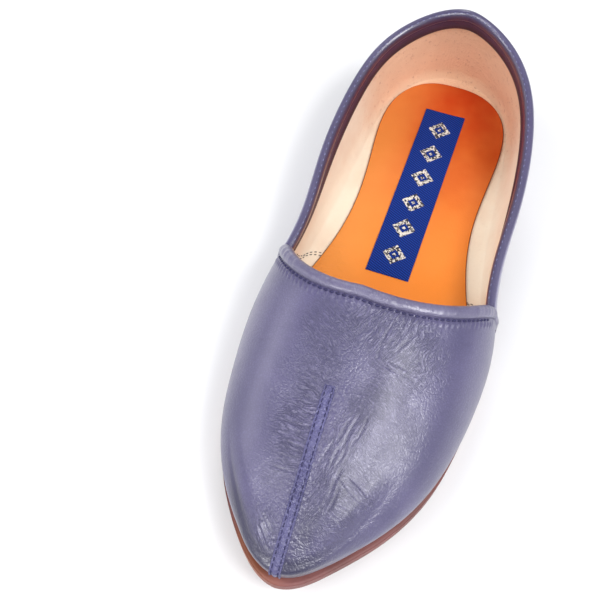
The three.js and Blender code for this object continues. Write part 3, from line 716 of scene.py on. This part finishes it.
def throat_roll(u, v):
    """The folded edge of the vamp, which swells a little here and there and thins below the corners."""
    off, down = along_section(v, *THROAT_ROLL)
    side, up = throat_route(u, 1.18)
    off = np.where(up < 1, np.maximum(off, 1.0 - 4.4 * eased(up, 0.9, 1.0)), off)
    down = down * (1 - 0.35 * eased(-up, -0.95, -0.82))
    swell = 0.1 * np.sin(u * 151 + 2 * np.sin(u * 23)) + 0.07 * np.sin(u * 263 + 3 * np.sin(u * 41))
    off = off + swell * eased(down, 4.6, 2.0)
    return throat_point(side, up, off, down)


def seam_turn_and_rise(place):
    """Turn and rise on the toe seam's route: 0 to 1 along the crest, and 1 to 2 down over the toe."""
    start = math.acos((TOE_SEAM_REACH - HALF - CREST_MIDDLE) / CREST_REACH)
    turn = start + (math.pi - start) * np.clip(place, 0, 1)
    return turn, 1 + (TOE_SEAM_FOOT - 1) * np.clip(place - 1, 0, 1)


def seam_route(place):
    return skin(*seam_turn_and_rise(place))


def seam_out(place):
    """The direction out of the leather on the toe seam's route."""
    onward = seam_route(np.minimum(place + 0.02, 2)) - seam_route(np.maximum(place - 0.02, 0))
    return unit(np.cross(unit(onward), np.array([1.0, 0, 0])))


def seam_place(share):
    """The place on the seam's route at a share of its true length."""
    places = np.linspace(0, 2, 401)
    run = run_along(seam_route(places))
    return np.interp(share * run[-1], run, places), run[-1]


def seam_base(share):
    """The leather under the toe seam at shares of its length: its place, and the direction out of it."""
    place, _ = seam_place(share)
    turn_share = np.linspace(0, 1, 201)
    stops, _ = seam_place(turn_share)
    turn, rise = seam_turn_and_rise(stops)
    lift = vamp_relief(skin(turn, rise), turn)
    lift = np.convolve(np.pad(lift, 6, mode="edge"), np.ones(13) / 13, mode="valid")
    out = seam_out(place)
    return seam_route(place) + out * np.interp(share, turn_share, lift)[:, None], out


def toe_seam(u, v):
    """The band over the toe seam: two raised edges, a round middle, and a pucker at each stitch."""
    point, out = seam_base(v)
    _, length = seam_place(v)
    aside = 2 * u - 1
    half_width = TOE_SEAM_HALF * (1 - 0.12 * (1 - eased(v, 0.0, 0.06)))
    stops = [-1.0, -0.98, -0.88, -0.7, -0.58, -0.42, -0.2, 0.0, 0.2, 0.42, 0.58, 0.7, 0.88, 0.98, 1.0]
    lifts = [0.5, 1.0, 1.5, 1.5, 1.2, 1.35, 1.6, 1.65, 1.6, 1.35, 1.2, 1.5, 1.5, 1.0, 0.5]
    lift = np.interp(aside, stops, lifts)
    pucker = np.sin(2 * math.pi * v * length / SEAM_STITCH)
    lift += 0.22 * pucker * bell(np.abs(aside), 0.84, 0.14)
    lift += 0.1 * np.sin(2 * math.pi * v * length / 4.1 + 2 * np.sin(v * 19)) * bell(aside, 0, 0.35)
    ends = eased(v, 0.0, 0.015) * eased(1 - v, 0.0, 0.01)
    lift = 0.4 + (lift - 0.4) * ends
    return point + out * lift[:, None] + np.array([1.0, 0, 0]) * (aside * half_width)[:, None]


def label_cloth(u, v):
    """The woven label, with its edges folded under."""
    rim = 0.03
    x = LABEL_SHIFT + LABEL_WIDTH * (np.clip((u - rim) / (1 - 2 * rim), 0, 1) - 0.5)
    y = HALF - LABEL_FROM_HEEL - LABEL_LENGTH * (1 - np.clip((v - rim) / (1 - 2 * rim), 0, 1))
    folded = (u < rim) | (u > 1 - rim) | (v < rim) | (v > 1 - rim)
    under = sole_top_at(y) + 2 * CLEARANCE + UPPER_WALL + SOCK_THICKNESS + CLEARANCE
    wave = 0.1 * np.sin(y * 0.21) * np.sin(x * 0.3 + 1)
    return np.stack([x, y, under + np.where(folded, -0.15, LABEL_THICKNESS + wave)], -1)


def even_run(points, spacing):
    """Places at even distances along a run of points, and the directions and shares there."""
    run = run_along(points)
    count = max(int(run[-1] / spacing), 1)
    marks = (np.arange(count) + 0.5) * run[-1] / count

    def at(marks):
        return np.stack([np.interp(marks, run, points[:, i]) for i in range(3)], -1)

    return at(marks), unit(at(marks + 0.05) - at(marks - 0.05)), marks / run[-1]


def add_stitches(bm, points, normals, spacing, length, thick, seed):
    """Lays a row of thread stitches on a run of points, each a little askew."""
    rng = random.Random(seed)
    places, along, shares = even_run(points, spacing)
    stops = np.linspace(0, 1, len(points))
    for place, forward, share in zip(places, along, shares):
        out = np.array([np.interp(share, stops, normals[:, i]) for i in range(3)])
        across = unit(np.cross(out, forward))
        out = unit(np.cross(forward, across))
        sway = rng.uniform(-0.06, 0.06)
        forward = unit(forward + across * sway)
        axes = [forward * length / 2 * MM, across * thick / 2 * MM, out * thick / 2 * MM]
        turn = Matrix([list(axis) for axis in axes]).transposed().to_4x4()
        turn.translation = Vector(placed(place))
        turn = turn @ Matrix.Rotation(math.pi / 2, 4, "Y")
        bmesh.ops.create_uvsphere(bm, u_segments=6, v_segments=4, radius=1.0, matrix=turn)


def stitches(name, rows, *thread):
    """One mesh of several rows of stitches with the same spacing, length, thickness and seed."""
    bm = bmesh.new()
    for points, normals in rows:
        add_stitches(bm, points, normals, *thread)
    bmesh.ops.recalc_face_normals(bm, faces=bm.faces)
    return made_object(name, bm)


def srgb(r, g, b):
    """The linear colour of 0 to 255 paint values."""
    def linear(value):
        share = value / 255
        return share / 12.92 if share <= 0.04045 else ((share + 0.055) / 1.055) ** 2.4
    return (linear(r), linear(g), linear(b), 1.0)


class Value:
    """What a node gives out, with the usual signs for sums of such values and plain numbers."""

    def __init__(self, tree, socket):
        self.tree = tree
        self.socket = socket

    def __add__(self, other):
        return maths("ADD", self, other)

    def __sub__(self, other):
        return maths("SUBTRACT", self, other)

    def __rsub__(self, other):
        return maths("SUBTRACT", other, self)

    def __mul__(self, other):
        return maths("MULTIPLY", self, other)

    def __truediv__(self, other):
        return maths("DIVIDE", self, other)

    def __abs__(self):
        return maths("ABSOLUTE", self, 0.0)


def fill(tree, socket, value):
    """Links a value to an input, or sets a plain number or colour there."""
    if isinstance(value, Value):
        tree.links.new(value.socket, socket)
    else:
        socket.default_value = value


def node(tree, kind, output=0, settings=None, **links):
    """What a new node gives out: a link's key is its input's name, or i and its place."""
    made = tree.nodes.new(kind)
    for key, value in (settings or {}).items():
        setattr(made, key, value)
    for key, value in links.items():
        fill(tree, made.inputs[int(key[1:]) if key[1:].isdigit() else key.replace("_", " ")], value)
    return Value(tree, made.outputs[output])


def maths(operation, a, b, clamp=False):
    tree = a.tree if isinstance(a, Value) else b.tree
    return node(tree, "ShaderNodeMath", 0, {"operation": operation, "use_clamp": clamp}, i0=a, i1=b)


def vectors(operation, a, **links):
    return node(a.tree, "ShaderNodeVectorMath", 0, {"operation": operation}, i0=a, **links)


def ranged(value, low, high, to_low=0.0, to_high=1.0):
    """A value eased from one range to another."""
    return node(value.tree, "ShaderNodeMapRange", 0, {"interpolation_type": "SMOOTHSTEP"}, Value=value,
                From_Min=low, From_Max=high, To_Min=to_low, To_Max=to_high)


def blended(share, first, second, way="MIX"):
    """Two colours mixed by a share."""
    tree = share.tree if isinstance(share, Value) else first.tree
    settings = {"data_type": "RGBA", "blend_type": way}
    return node(tree, "ShaderNodeMix", 2, settings, i0=share, i6=first, i7=second)


def noise(vector, scale, detail=3.0, rough=0.55):
    return node(vector.tree, "ShaderNodeTexNoise", "Fac", Vector=vector, Scale=scale, Detail=detail,
                Roughness=rough)


def fissures(vector, scale):
    """The distance from the edges between cells."""
    settings = {"feature": "DISTANCE_TO_EDGE"}
    return node(vector.tree, "ShaderNodeTexVoronoi", "Distance", settings, Vector=vector, Scale=scale)


def results(value):
    """All that the node behind a value gives out, by name."""
    return {output.name: Value(value.tree, output) for output in value.socket.node.outputs}


def parts_of(vector):
    """The three parts of a vector."""
    return list(results(node(vector.tree, "ShaderNodeSeparateXYZ", Vector=vector)).values())


def strip_shares(tree):
    """The two shares of a sheet, along it and across it."""
    return parts_of(node(tree, "ShaderNodeUVMap"))[:2]


def group_tree(name, inputs):
    """An empty node group, and what its named inputs give."""
    tree = bpy.data.node_groups.new(name, "ShaderNodeTree")
    for label, value in inputs.items():
        kind = "NodeSocketVector" if value is None else "NodeSocketFloat"
        socket = tree.interface.new_socket(label, in_out="INPUT", socket_type=kind)
        if value is not None:
            socket.default_value = value
    start = tree.nodes.new("NodeGroupInput")
    return tree, [Value(tree, start.outputs[label]) for label in inputs]


def finished_group(tree, outputs):
    """The node group with its results joined to named outputs."""
    for label in outputs:
        tree.interface.new_socket(label, in_out="OUTPUT", socket_type="NodeSocketFloat")
    end = tree.nodes.new("NodeGroupOutput")
    for label, value in outputs.items():
        fill(tree, end.inputs[label], value)
    return tree


@functools.cache
def grain_group():
    """Pebbled leather grain: its height, and a mask of the fine valleys between the pebbles, for painted
    shade.
    """
    inputs = {"Vector": None, "Pebble Scale": 900.0, "Wrinkle Scale": 260.0, "Wrinkle Amount": 0.5}
    tree, (vector, pebble_scale, wrinkle_scale, wrinkle_amount) = group_tree("leather grain", inputs)
    wander = node(tree, "ShaderNodeTexNoise", "Color", Vector=vector, Scale=420.0, Detail=2.0)
    place = vectors("ADD", vector, i1=vectors("SCALE", wander, Scale=0.0011))
    dome = ranged(fissures(place, pebble_scale), 0.0, 0.28)
    fold = ranged(fissures(place, wrinkle_scale), 0.0, 0.2)
    patchy = ranged(noise(vector, 70.0, 2.0), 0.36, 0.6)
    pores = noise(vector, 3200.0, 1.0)
    height = dome * 0.55 + pores * 0.12 - (1.0 - fold) * patchy * wrinkle_amount
    return finished_group(tree, {"Height": height, "Valleys": maths("SUBTRACT", 1.0, dome, True)})


@functools.cache
def wrinkle_group():
    """A patch of fine wrinkles that run one way: their height, and masks of their troughs and ridges for
    painted shade and painted highlights.
    """
    inputs = {"Vector": None, "Middle": None, "Turn": 0.0, "Half Length": 0.01, "Half Width": 0.01,
              "Spacing": 0.0015}
    tree, (vector, middle, turn, half_length, half_width, spacing) = group_tree("fine wrinkles", inputs)
    local = vectors("SUBTRACT", vector, i1=middle)
    turned = node(tree, "ShaderNodeVectorRotate", 0, {"rotation_type": "Z_AXIS"}, Vector=local,
                  Angle=turn * -1.0)
    x, y, z = parts_of(turned)
    along = x / half_length
    aside = y / half_width
    reach = maths("SQRT", along * along + aside * aside, 0.0)
    ragged = (noise(vector, 210.0) - 0.5) * 0.9
    patch = ranged(reach + ragged, 0.55, 1.15, 1.0, 0.0)
    wander = (noise(vector, 130.0, 1.0) - 0.5) * 0.004
    place = node(tree, "ShaderNodeCombineXYZ", X=x / (spacing * 5.5), Y=(y + wander) / spacing,
                 Z=z / (spacing * 2.0))
    folds = noise(place, 1.5, 1.5, 0.5)
    off_fold = abs(folds - 0.5)
    line = ranged(off_fold, 0.0, 0.13)
    return finished_group(tree, {
        "Height": (folds + line * 0.6 - 1.0) * patch,
        "Mask": (1.0 - line) * patch,
        "Ridges": ranged(off_fold, 0.1, 0.2) * patch,
    })


def grouped(group, vector, **values):
    """What a shared node group gives with a material's own values, by name."""
    return results(node(vector.tree, "ShaderNodeGroup", 0, {"node_tree": group}, Vector=vector, **values))


def wrinkles_at(place, x, y, turn, half_length, half_width, spacing):
    """A patch of fine wrinkles at a place in the shoe's plan, with its sizes in millimetres."""
    return grouped(wrinkle_group(), place, Middle=placed((x, y, 0.0)), Turn=math.radians(turn),
                   Half_Length=half_length * MM, Half_Width=half_width * MM, Spacing=spacing * MM)


def new_material(name):
    """A material, its node tree, and the coordinates of the object it is on."""
    material = bpy.data.materials.new(name)
    material.use_nodes = True
    return material, material.node_tree, node(material.node_tree, "ShaderNodeTexCoord", "Object")


def finished(material, colour, height=None, distance=MM, **settings):
    """The material with its colour, its surface's height and its shader's other settings."""
    tree = material.node_tree
    if height is not None:
        settings["Normal"] = node(tree, "ShaderNodeBump", Height=height, Distance=distance, Strength=1.0)
    for key, value in {"Base Color": colour, **settings}.items():
        fill(tree, tree.nodes["Principled BSDF"].inputs[key.replace("_", " ")], value)
    return material


def shaded(colour, share):
    """A colour darkened to a share of itself."""
    return tuple(share * value for value in colour[:3]) + (1.0,)


# Patches of fine wrinkles on the vamp: middle x, y, direction, half length and width, spacing, depth.
WRINKLES = [
    (-7.5, -53.4, -34, 15, 13, 1.4, 0.5), (-6.5, -71.3, -22, 10, 12, 1.3, 0.5),
    (18.7, -49.2, -107, 15, 24, 1.6, 0.65), (21.6, -63.5, -18, 12, 14, 1.3, 0.55),
    (15.4, -75.4, -14, 9, 10, 1.2, 0.5), (11.5, -91.5, -101, 22, 8, 1.5, 0.6),
    (10.5, -113.1, -110, 17, 6.5, 1.4, 0.55), (21.0, -104.5, -22, 10, 12, 1.3, 0.6),
    (17.2, -118.3, -8, 6.5, 13, 1.1, 0.5), (-7.4, -92.0, -6, 10.5, 18, 2.0, 0.8),
    (-6.7, -108.5, 0, 9, 11, 1.5, 0.45), (-6.5, -131.5, -50, 10, 9, 1.4, 0.55),
    (24.5, -82.3, -35, 13, 16, 1.2, 0.45),
]
WRINKLE_TIGHTNESS = 0.82
# The middle of the vamp, where the grain is deepest, and how fast it fades along x, y and z.
GRAIN_MIDDLE = (6, -85, 40)
GRAIN_FADE = (32.0, 17.0, 10.0)
# The pale colour of the painted highlights on the wrinkles' ridges.
PAINTED_RIDGE_HIGHLIGHT = srgb(126, 121, 153)


def leather_material(name, middle, dark, light, rough=0.36, pebble=900.0, grain_depth=0.16, patches=(),
                     coat=0.45):
    """Dyed leather: pebbled grain and patches of fine wrinkles, with painted shade in the creases, the
    grain's valleys and under the toe's stiffener, painted highlights on the wrinkles' ridges, and cloudy in
    between.
    """
    material, tree, place = new_material(name)
    grain = grouped(grain_group(), place, Pebble_Scale=pebble, Wrinkle_Scale=430.0, Wrinkle_Amount=0.8)
    from_middle = vectors("MULTIPLY", vectors("SUBTRACT", place, i1=placed(GRAIN_MIDDLE)), i1=GRAIN_FADE)
    from_middle = node(tree, "ShaderNodeVectorMath", "Value", {"operation": "LENGTH"}, i0=from_middle)
    height = grain["Height"] * ranged(from_middle, 0.55, 1.15, grain_depth, 0.35 * grain_depth)
    lines = grain["Valleys"] * 0.35
    ridges = 0.0
    for *where, spacing, depth in patches:
        patch = wrinkles_at(place, *where, WRINKLE_TIGHTNESS * spacing)
        height += patch["Height"] * (depth * 0.42)
        lines += patch["Mask"] * (depth * 0.85)
        ridges = maths("ADD", ridges, patch["Ridges"] * depth, True)
    colour = blended(ranged(noise(place, 38.0, 4.0), 0.35, 0.68), middle, light)
    # Painted highlights: the wrinkles' ridges are lightened toward a pale colour.
    if patches:
        colour = blended(ridges * 0.45, colour, PAINTED_RIDGE_HIGHLIGHT)
    crease = node(tree, "ShaderNodeAttribute", "Fac", {"attribute_name": "crease"})
    rim = node(tree, "ShaderNodeAttribute", "Fac", {"attribute_name": "rim"})
    # Painted shade: the grain's valleys, the wrinkles' troughs and the main creases darken the colour.
    folds = maths("ADD", lines, crease * 0.25, True)
    colour = blended(folds * 0.8, colour, dark)
    # Painted shade below the edge of the toe's stiffener and on the toe.
    colour = blended(rim * 0.85, colour, shaded(dark, 0.6))
    shine = noise(place, 160.0) * 0.16 + (rough - 0.08) + folds * 0.12
    return finished(material, colour, height, Roughness=shine, Coat_Weight=coat, Coat_Roughness=0.32,
                    Specular_IOR_Level=0.7)


def lining_material():
    """Cream lining, smooth at the sides and rubbed to a pinkish suede at the back of the heel."""
    material, _, place = new_material("cream lining")
    nap = noise(place, 420.0, 5.0, 0.75)
    heel = ranged(parts_of(place)[1] + nap * 0.02, 0.085, 0.125)
    colour = blended(heel, srgb(244, 228, 206), srgb(246, 208, 176))
    colour = blended(ranged(noise(place, 40.0), 0.4, 0.7) * 0.18, colour, srgb(214, 160, 124))
    colour = blended(ranged(nap, 0.56, 0.74) * (heel + 0.2) * 0.55, colour, srgb(176, 112, 82))
    return finished(material, colour, nap * (heel + 0.25), 0.7 * MM, Roughness=0.9)


def sock_material():
    """Orange sock leather, redder to the heel, with a dark cut edge."""
    material, tree, place = new_material("orange sock")
    x, y, _ = parts_of(place)
    colour = blended(ranged(y, 0.0, 0.125), srgb(226, 126, 36), srgb(186, 58, 8))
    colour = blended(ranged(noise(place, 30.0), 0.3, 0.7) * 0.25, colour, srgb(238, 146, 66))
    colour = blended(ranged(x, 0.0, -0.035, 0.0, 0.45), colour, srgb(240, 160, 78))
    colour = blended(ranged(strip_shares(tree)[1], 0.165, 0.15) * 0.85, colour, srgb(96, 36, 18))
    height = grouped(grain_group(), place, Pebble_Scale=1500.0)["Height"] * 0.05
    for patch in ((-26.0, -6.0, 8, 12, 26, 1.5), (8.0, -22.0, 4, 26, 9, 1.5)):
        height += wrinkles_at(place, *patch)["Height"] * 0.16
    return finished(material, colour, height, Roughness=0.5, Specular_IOR_Level=0.25)


def rubber_material():
    """Rose-brown rubber, warmer at the inner side of the toe, with a pale line of glue above it."""
    material, tree, place = new_material("rose brown rubber")
    x, y, _ = parts_of(place)
    colour = blended(ranged(noise(place, 60.0, 4.0), 0.35, 0.7), srgb(130, 77, 74), srgb(112, 65, 60))
    colour = blended(ranged(x, 0.006, -0.012) * ranged(y, -0.12, -0.132) * 0.6, colour, srgb(150, 84, 44))
    glue = ranged(strip_shares(tree)[1], 0.146, 0.14) * ranged(y, -0.118, -0.13)
    colour = blended(glue * 0.8, colour, srgb(214, 196, 200))
    return finished(material, colour, noise(place, 700.0, 4.0, 0.7), 0.2 * MM, Roughness=0.6)


# The label's weave and its row of lozenges, in millimetres.
TWILL_STEP = 1.15
FLOAT_STEP = 0.8
LOZENGE_START = 7.0
LOZENGE_STEP = 15.17
LOZENGE_HALF = 5.6


def label_material():
    """Blue twill with a row of generic lozenges in speckled silver thread."""
    material, tree, place = new_material("blue woven label")
    across, along = strip_shares(tree)
    across = (across - 0.5) * LABEL_WIDTH
    along = along * LABEL_LENGTH
    twill = maths("SINE", (across * 0.45 + along) * (2 * math.pi / TWILL_STEP), 0.0)
    floats = maths("SINE", across * (2 * math.pi / FLOAT_STEP), 0.0)
    weave = twill * 0.5 + floats * 0.22
    colour = blended(ranged(weave, -0.5, 0.6), srgb(3, 21, 78), srgb(11, 56, 150))
    cell = maths("FRACT", (along - LOZENGE_START) / LOZENGE_STEP, 0.0) - 0.5
    lozenge = abs(across) / LOZENGE_HALF + abs(cell) * (LOZENGE_STEP / LOZENGE_HALF)
    ring = ranged(lozenge, 0.46, 0.5) * ranged(lozenge, 1.0, 0.95)
    ends = ranged(along, LOZENGE_START, 7.2) * ranged(along, LABEL_LENGTH - LOZENGE_START, 97.8)
    motif = maths("ADD", ring, ranged(lozenge, 0.2, 0.16), True) * ends
    speckle = node(tree, "ShaderNodeTexVoronoi", "Color", Vector=place, Scale=1500.0)
    spark = ranged(parts_of(speckle)[0], 0.35, 0.65)
    silver = blended(spark, srgb(52, 50, 58), srgb(222, 214, 204))
    height = weave + motif * (spark + 0.6)
    return finished(material, blended(motif, colour, silver), height, 0.12 * MM, Roughness=0.85,
                    Specular_IOR_Level=0.2)


def thread_material(name, colour):
    material, _, place = new_material(name)
    tone = ranged(noise(place, 900.0), 0.3, 0.7)
    return finished(material, blended(tone, shaded(colour, 0.6), colour), Roughness=0.7)


def zoned(material, stops):
    """Darkens a material in zones across its strip, given as places and shares of the full colour."""
    tree = material.node_tree
    colour = tree.nodes["Principled BSDF"].inputs["Base Color"]
    zones = node(tree, "ShaderNodeValToRGB", Fac=strip_shares(tree)[1])
    points = zones.socket.node.color_ramp.elements
    for point, (place, share) in zip([points[0], points[1]], (stops[0], stops[-1])):
        point.position, point.color = place, share
    for place, share in stops[1:-1]:
        points.new(place).color = share
    fill(tree, colour, blended(1.0, Value(tree, colour.links[0].from_socket), zones, "MULTIPLY"))
    return material


INDIGO = srgb(77, 72, 110), srgb(43, 39, 79), srgb(89, 83, 122)
VAMP_LEATHER = leather_material("indigo vamp leather", *INDIGO, patches=WRINKLES)
SIDE_LEATHER = leather_material("indigo side leather", *INDIGO)
BINDING = leather_material(
    "binding leather", srgb(98, 93, 124), srgb(56, 50, 84), srgb(112, 107, 138), pebble=1300.0)
SEAM_LEATHER = leather_material(
    "toe seam leather", srgb(84, 81, 126), srgb(42, 40, 84), srgb(96, 93, 142), rough=0.45, grain_depth=0.4,
    coat=0.0)
# The collar's roll is lightened in a stripe along its outer top, a painted highlight, and further in it
# turns navy, then dark maroon.
COLLAR_LEATHER = zoned(leather_material(
    "collar leather", srgb(138, 133, 164), srgb(84, 78, 112), srgb(152, 147, 178), rough=0.3, pebble=1300.0,
    coat=0.8,
), [
    (0.0, (0.36, 0.36, 0.42, 1)), (0.14, (0.4, 0.4, 0.45, 1)), (0.27, (1, 1, 1, 1)),
    (0.36, (0.8, 0.8, 0.85, 1)), (0.44, (0.3, 0.28, 0.4, 1)), (0.54, (0.2, 0.17, 0.32, 1)),
    (0.75, (0.15, 0.1, 0.18, 1)), (1.0, (0.13, 0.06, 0.12, 1)),
])
FACING_LEATHER = zoned(leather_material(
    "facing leather", srgb(84, 58, 100), srgb(48, 30, 56), srgb(100, 72, 114), rough=0.55, coat=0.1,
), [
    (0.0, (0.4, 0.4, 0.65, 1)), (0.45, (0.5, 0.4, 0.5, 1)), (0.7, (0.42, 0.2, 0.18, 1)),
    (1.0, (0.35, 0.12, 0.09, 1)),
])
LINING = lining_material()

# Each sheet: its name, columns and rows, shape, finish, node, slot, and what sets it apart.
SHEETS = [
    ("vamp_leather", 560, 170, vamp_leather, VAMP_LEATHER, "upper", "upper_leather", {"marks": vamp_marks}),
    ("quarter_leather", 320, 70, quarter_leather, SIDE_LEATHER, "upper", "upper_leather", {"weld": 0}),
    ("quarter_lining", 200, 60, quarter_lining, LINING, "upper", "upper_leather", {"weld": 0}),
    ("vamp_lining", 160, 90, vamp_lining, LINING, "upper", "upper_leather", {}),
    ("outsole_rubber", 400, 100, sole_section, rubber_material(), "outsole", "sole_rubber",
     {"weld": 0.08, "reverse": False}),
    ("sock_leather", 280, 70, sock_section, sock_material(), "insole_sock", "sock_leather", {}),
    ("collar_roll", 300, 30, collar_roll, COLLAR_LEATHER, "collar_binding", "binding_leather", {"weld": 0}),
    ("collar_facing", 300, 14, collar_facing, FACING_LEATHER, "collar_binding", "binding_leather",
     {"weld": 0}),
    ("throat_roll", 260, 30, throat_roll, BINDING, "throat_binding", "binding_leather", {"weld": 0}),
    ("toe_seam_band", 40, 220, toe_seam, SEAM_LEATHER, "toe_seam", "upper_leather", {"weld": 0}),
    ("label_cloth", 60, 200, label_cloth, label_material(), "label", "label_weave", {"reverse": False}),
]
for name, columns, rows, shape, finish, part, slot, ways in SHEETS:
    dress(bent_sheet(name, columns, rows, shape, **ways), finish, part)


def seam_stitch_row(aside, lift):
    """A row of stitches along the toe seam, aside of its middle."""
    point, out = seam_base(np.linspace(0.01, 0.97, 400))
    return point + out * lift + np.array([aside, 0.0, 0.0]), out


def throat_stitch_row(ahead, lift):
    side, up = throat_route(np.linspace(0.08, 0.92, 500), 1.08)
    points = throat_point(side, up, lift, ahead)
    return points, unit(throat_point(side, up, lift + 1, ahead) - points)


def collar_stitch_row(off, down):
    across = np.linspace(-0.985, 0.985, 700)
    offs, downs = np.full(700, off), np.full(700, down)
    points = collar_point(across, offs, downs)
    return points, unit(collar_point(across, offs - 0.5, downs - 0.9) - points)


def lining_stitch_row(first, last, bow):
    """Stitches of the side seam that come through the lining, between two places of its sheet."""
    u = np.clip(np.linspace(first[0], last[0], 60) + bow * np.sin(np.linspace(0, math.pi, 60)), 0, 1)
    v = np.linspace(first[1], last[1], 60)
    points = quarter_lining(u, v)
    along = quarter_lining(np.clip(u + 0.005, 0, 1), v) - quarter_lining(np.clip(u - 0.005, 0, 1), v)
    inward = unit(np.cross(along, quarter_lining(u, v + 0.01) - quarter_lining(u, v - 0.01)))
    way = np.sign(inward[:, 2] * 20 - inward[:, 0] * points[:, 0])[:, None]
    return points + inward * way * 0.05, inward * way


def side_seam_row(side, distance):
    """Stitches down the vamp's edge at the side seam."""
    up = np.linspace(0.9, 0.1, 60)
    place = vamp_place(side, up, turn_ahead(side, up, distance))
    return off_skin(*place, VAMP_STEP + 0.02), skin_normal(*place)


NAVY_THREAD = thread_material("navy thread", srgb(44, 40, 88))
# Where the side seams' stitches come through the lining: shares of its sheet at both ends, and the bow.
LINING_SEAMS = [
    ((0.0138, 0.2), (0.0138, 0.947), -0.009), ((0.004, 0.3), (0.01, 0.96), -0.006),
    ((0.9962, 0.97), (0.9988, 0.5), 0.002), ((1.0, 0.967), (1.0, 0.45), 0.0),
]
SIDE_SEAMS = [(side, distance) for side in (1.0, -1.0) for distance in (2.4, 4.8)]
# Each mesh of stitches: name, rows, thread, node, slot, then the spacing, length, thickness and seed.
STITCHES = [
    ("toe_seam_stitches", [seam_stitch_row(aside, 1.2) for aside in (-1.4, 1.4)], NAVY_THREAD,
     "toe_seam", "upper_leather", SEAM_STITCH, 1.9, 0.85, 3),
    ("throat_stitches", [throat_stitch_row(5.0, 0.72)], NAVY_THREAD,
     "throat_binding", "binding_leather", THROAT_STITCH, 2.2, 1.1, 5),
    ("collar_stitches", [collar_stitch_row(-1.9, -1.35)],
     thread_material("pale blue thread", srgb(140, 140, 180)),
     "collar_binding", "binding_leather", 3.1, 1.3, 0.42, 7),
    ("lining_stitches", [lining_stitch_row(*seam) for seam in LINING_SEAMS],
     thread_material("dark brown thread", srgb(58, 34, 40)), "upper", "upper_leather", 2.1, 1.5, 0.5, 9),
    ("side_seam_stitches", [side_seam_row(*seam) for seam in SIDE_SEAMS], NAVY_THREAD,
     "upper", "upper_leather", 2.6, 1.8, 0.55, 11),
]
for name, rows, finish, part, slot, *thread in STITCHES:
    dress(stitches(name, rows, *thread), finish, part)

# The camera: azimuth, elevation and roll in degrees, focal length, and its place over the last.
CAMERA_TURN = (20.27, 58.75, -0.14)
CAMERA_LENS = 49.006
CAMERA_PLACE = (34.899, -204.194, 333.836)
FLOOR_DROP = 0.0005
# Each lamp: name, place, width, height, power, and whether it lights surfaces and shows in their gloss.
LAMPS = [
    ("key", (0.46, -0.18, 0.80), 0.40, 0.28, 5.2, True, True),
    ("sheen", (0.45, -0.20, 0.80), 0.34, 0.26, 1.6, False, True),
    ("toe left", (-0.42, -0.61, 0.67), 0.18, 0.18, 4.8, False, True),
    ("toe right", (0.74, -0.28, 0.62), 0.16, 0.16, 4.5, False, True),
    ("left", (-0.95, -0.05, 0.42), 0.6, 0.3, 1.9, True, True),
    ("fill", (-0.55, -0.35, 0.85), 0.7, 0.5, 4.0, True, False),
    ("front", (0.25, -0.85, 0.85), 0.8, 0.5, 4.2, True, False),
    ("back", (-0.2, 0.72, 0.8), 0.35, 0.25, 2.2, True, True),
]
LAMP_AIM = Vector((0, -0.02, 0.02))


def add_camera(scene):
    """The one camera, looking down at the toe."""
    azimuth, elevation, roll = (math.radians(turn) for turn in CAMERA_TURN)
    level = math.cos(elevation)
    back = Vector((math.sin(azimuth) * level, -math.cos(azimuth) * level, math.sin(elevation)))
    side = (-back).cross(Vector((0, 0, 1))).normalized()
    up = side.cross(-back)
    right = math.cos(roll) * side + math.sin(roll) * up
    top = -math.sin(roll) * side + math.cos(roll) * up
    camera = bpy.data.objects.new("camera", bpy.data.cameras.new("camera"))
    camera.data.lens = CAMERA_LENS
    camera.data.sensor_width = 36.0
    camera.data.clip_start = 0.01
    turn = Matrix((right, top, back)).transposed().to_4x4()
    turn.translation = Vector(placed(CAMERA_PLACE))
    camera.matrix_world = turn
    scene.collection.objects.link(camera)
    scene.camera = camera


def add_floor():
    """A pale floor just under the sole, as staging."""
    bm = bmesh.new()
    bmesh.ops.create_grid(bm, x_segments=2, y_segments=2, size=3.0)
    floor = made_object("floor", bm)
    material, *_ = new_material("pale floor")
    floor.data.materials.append(finished(material, (0.86, 0.86, 0.87, 1.0), Roughness=0.9))
    floor.location.z = -FLOOR_DROP


def add_light(scene):
    """A soft room and its lamps, all aimed at the middle of the shoe."""
    scene.world = bpy.data.worlds.new("soft room")
    scene.world.use_nodes = True
    room = scene.world.node_tree.nodes["Background"]
    room.inputs["Color"].default_value = (0.95, 0.97, 1.0, 1.0)
    room.inputs["Strength"].default_value = 0.42
    for name, place, width, height, power, spread, mirrored in LAMPS:
        light = bpy.data.lights.new(name, "AREA")
        light.shape = "RECTANGLE"
        light.energy = power
        light.size = width
        light.size_y = height
        lamp = bpy.data.objects.new(name, light)
        lamp.location = place
        lamp.visible_diffuse = spread
        lamp.visible_glossy = mirrored
        lamp.rotation_euler = (LAMP_AIM - Vector(place)).to_track_quat("-Z", "Y").to_euler()
        scene.collection.objects.link(lamp)


add_camera(bpy.context.scene)
add_floor()
add_light(bpy.context.scene)
bpy.context.scene.view_settings.view_transform = "Standard"
bpy.context.view_layer.update()
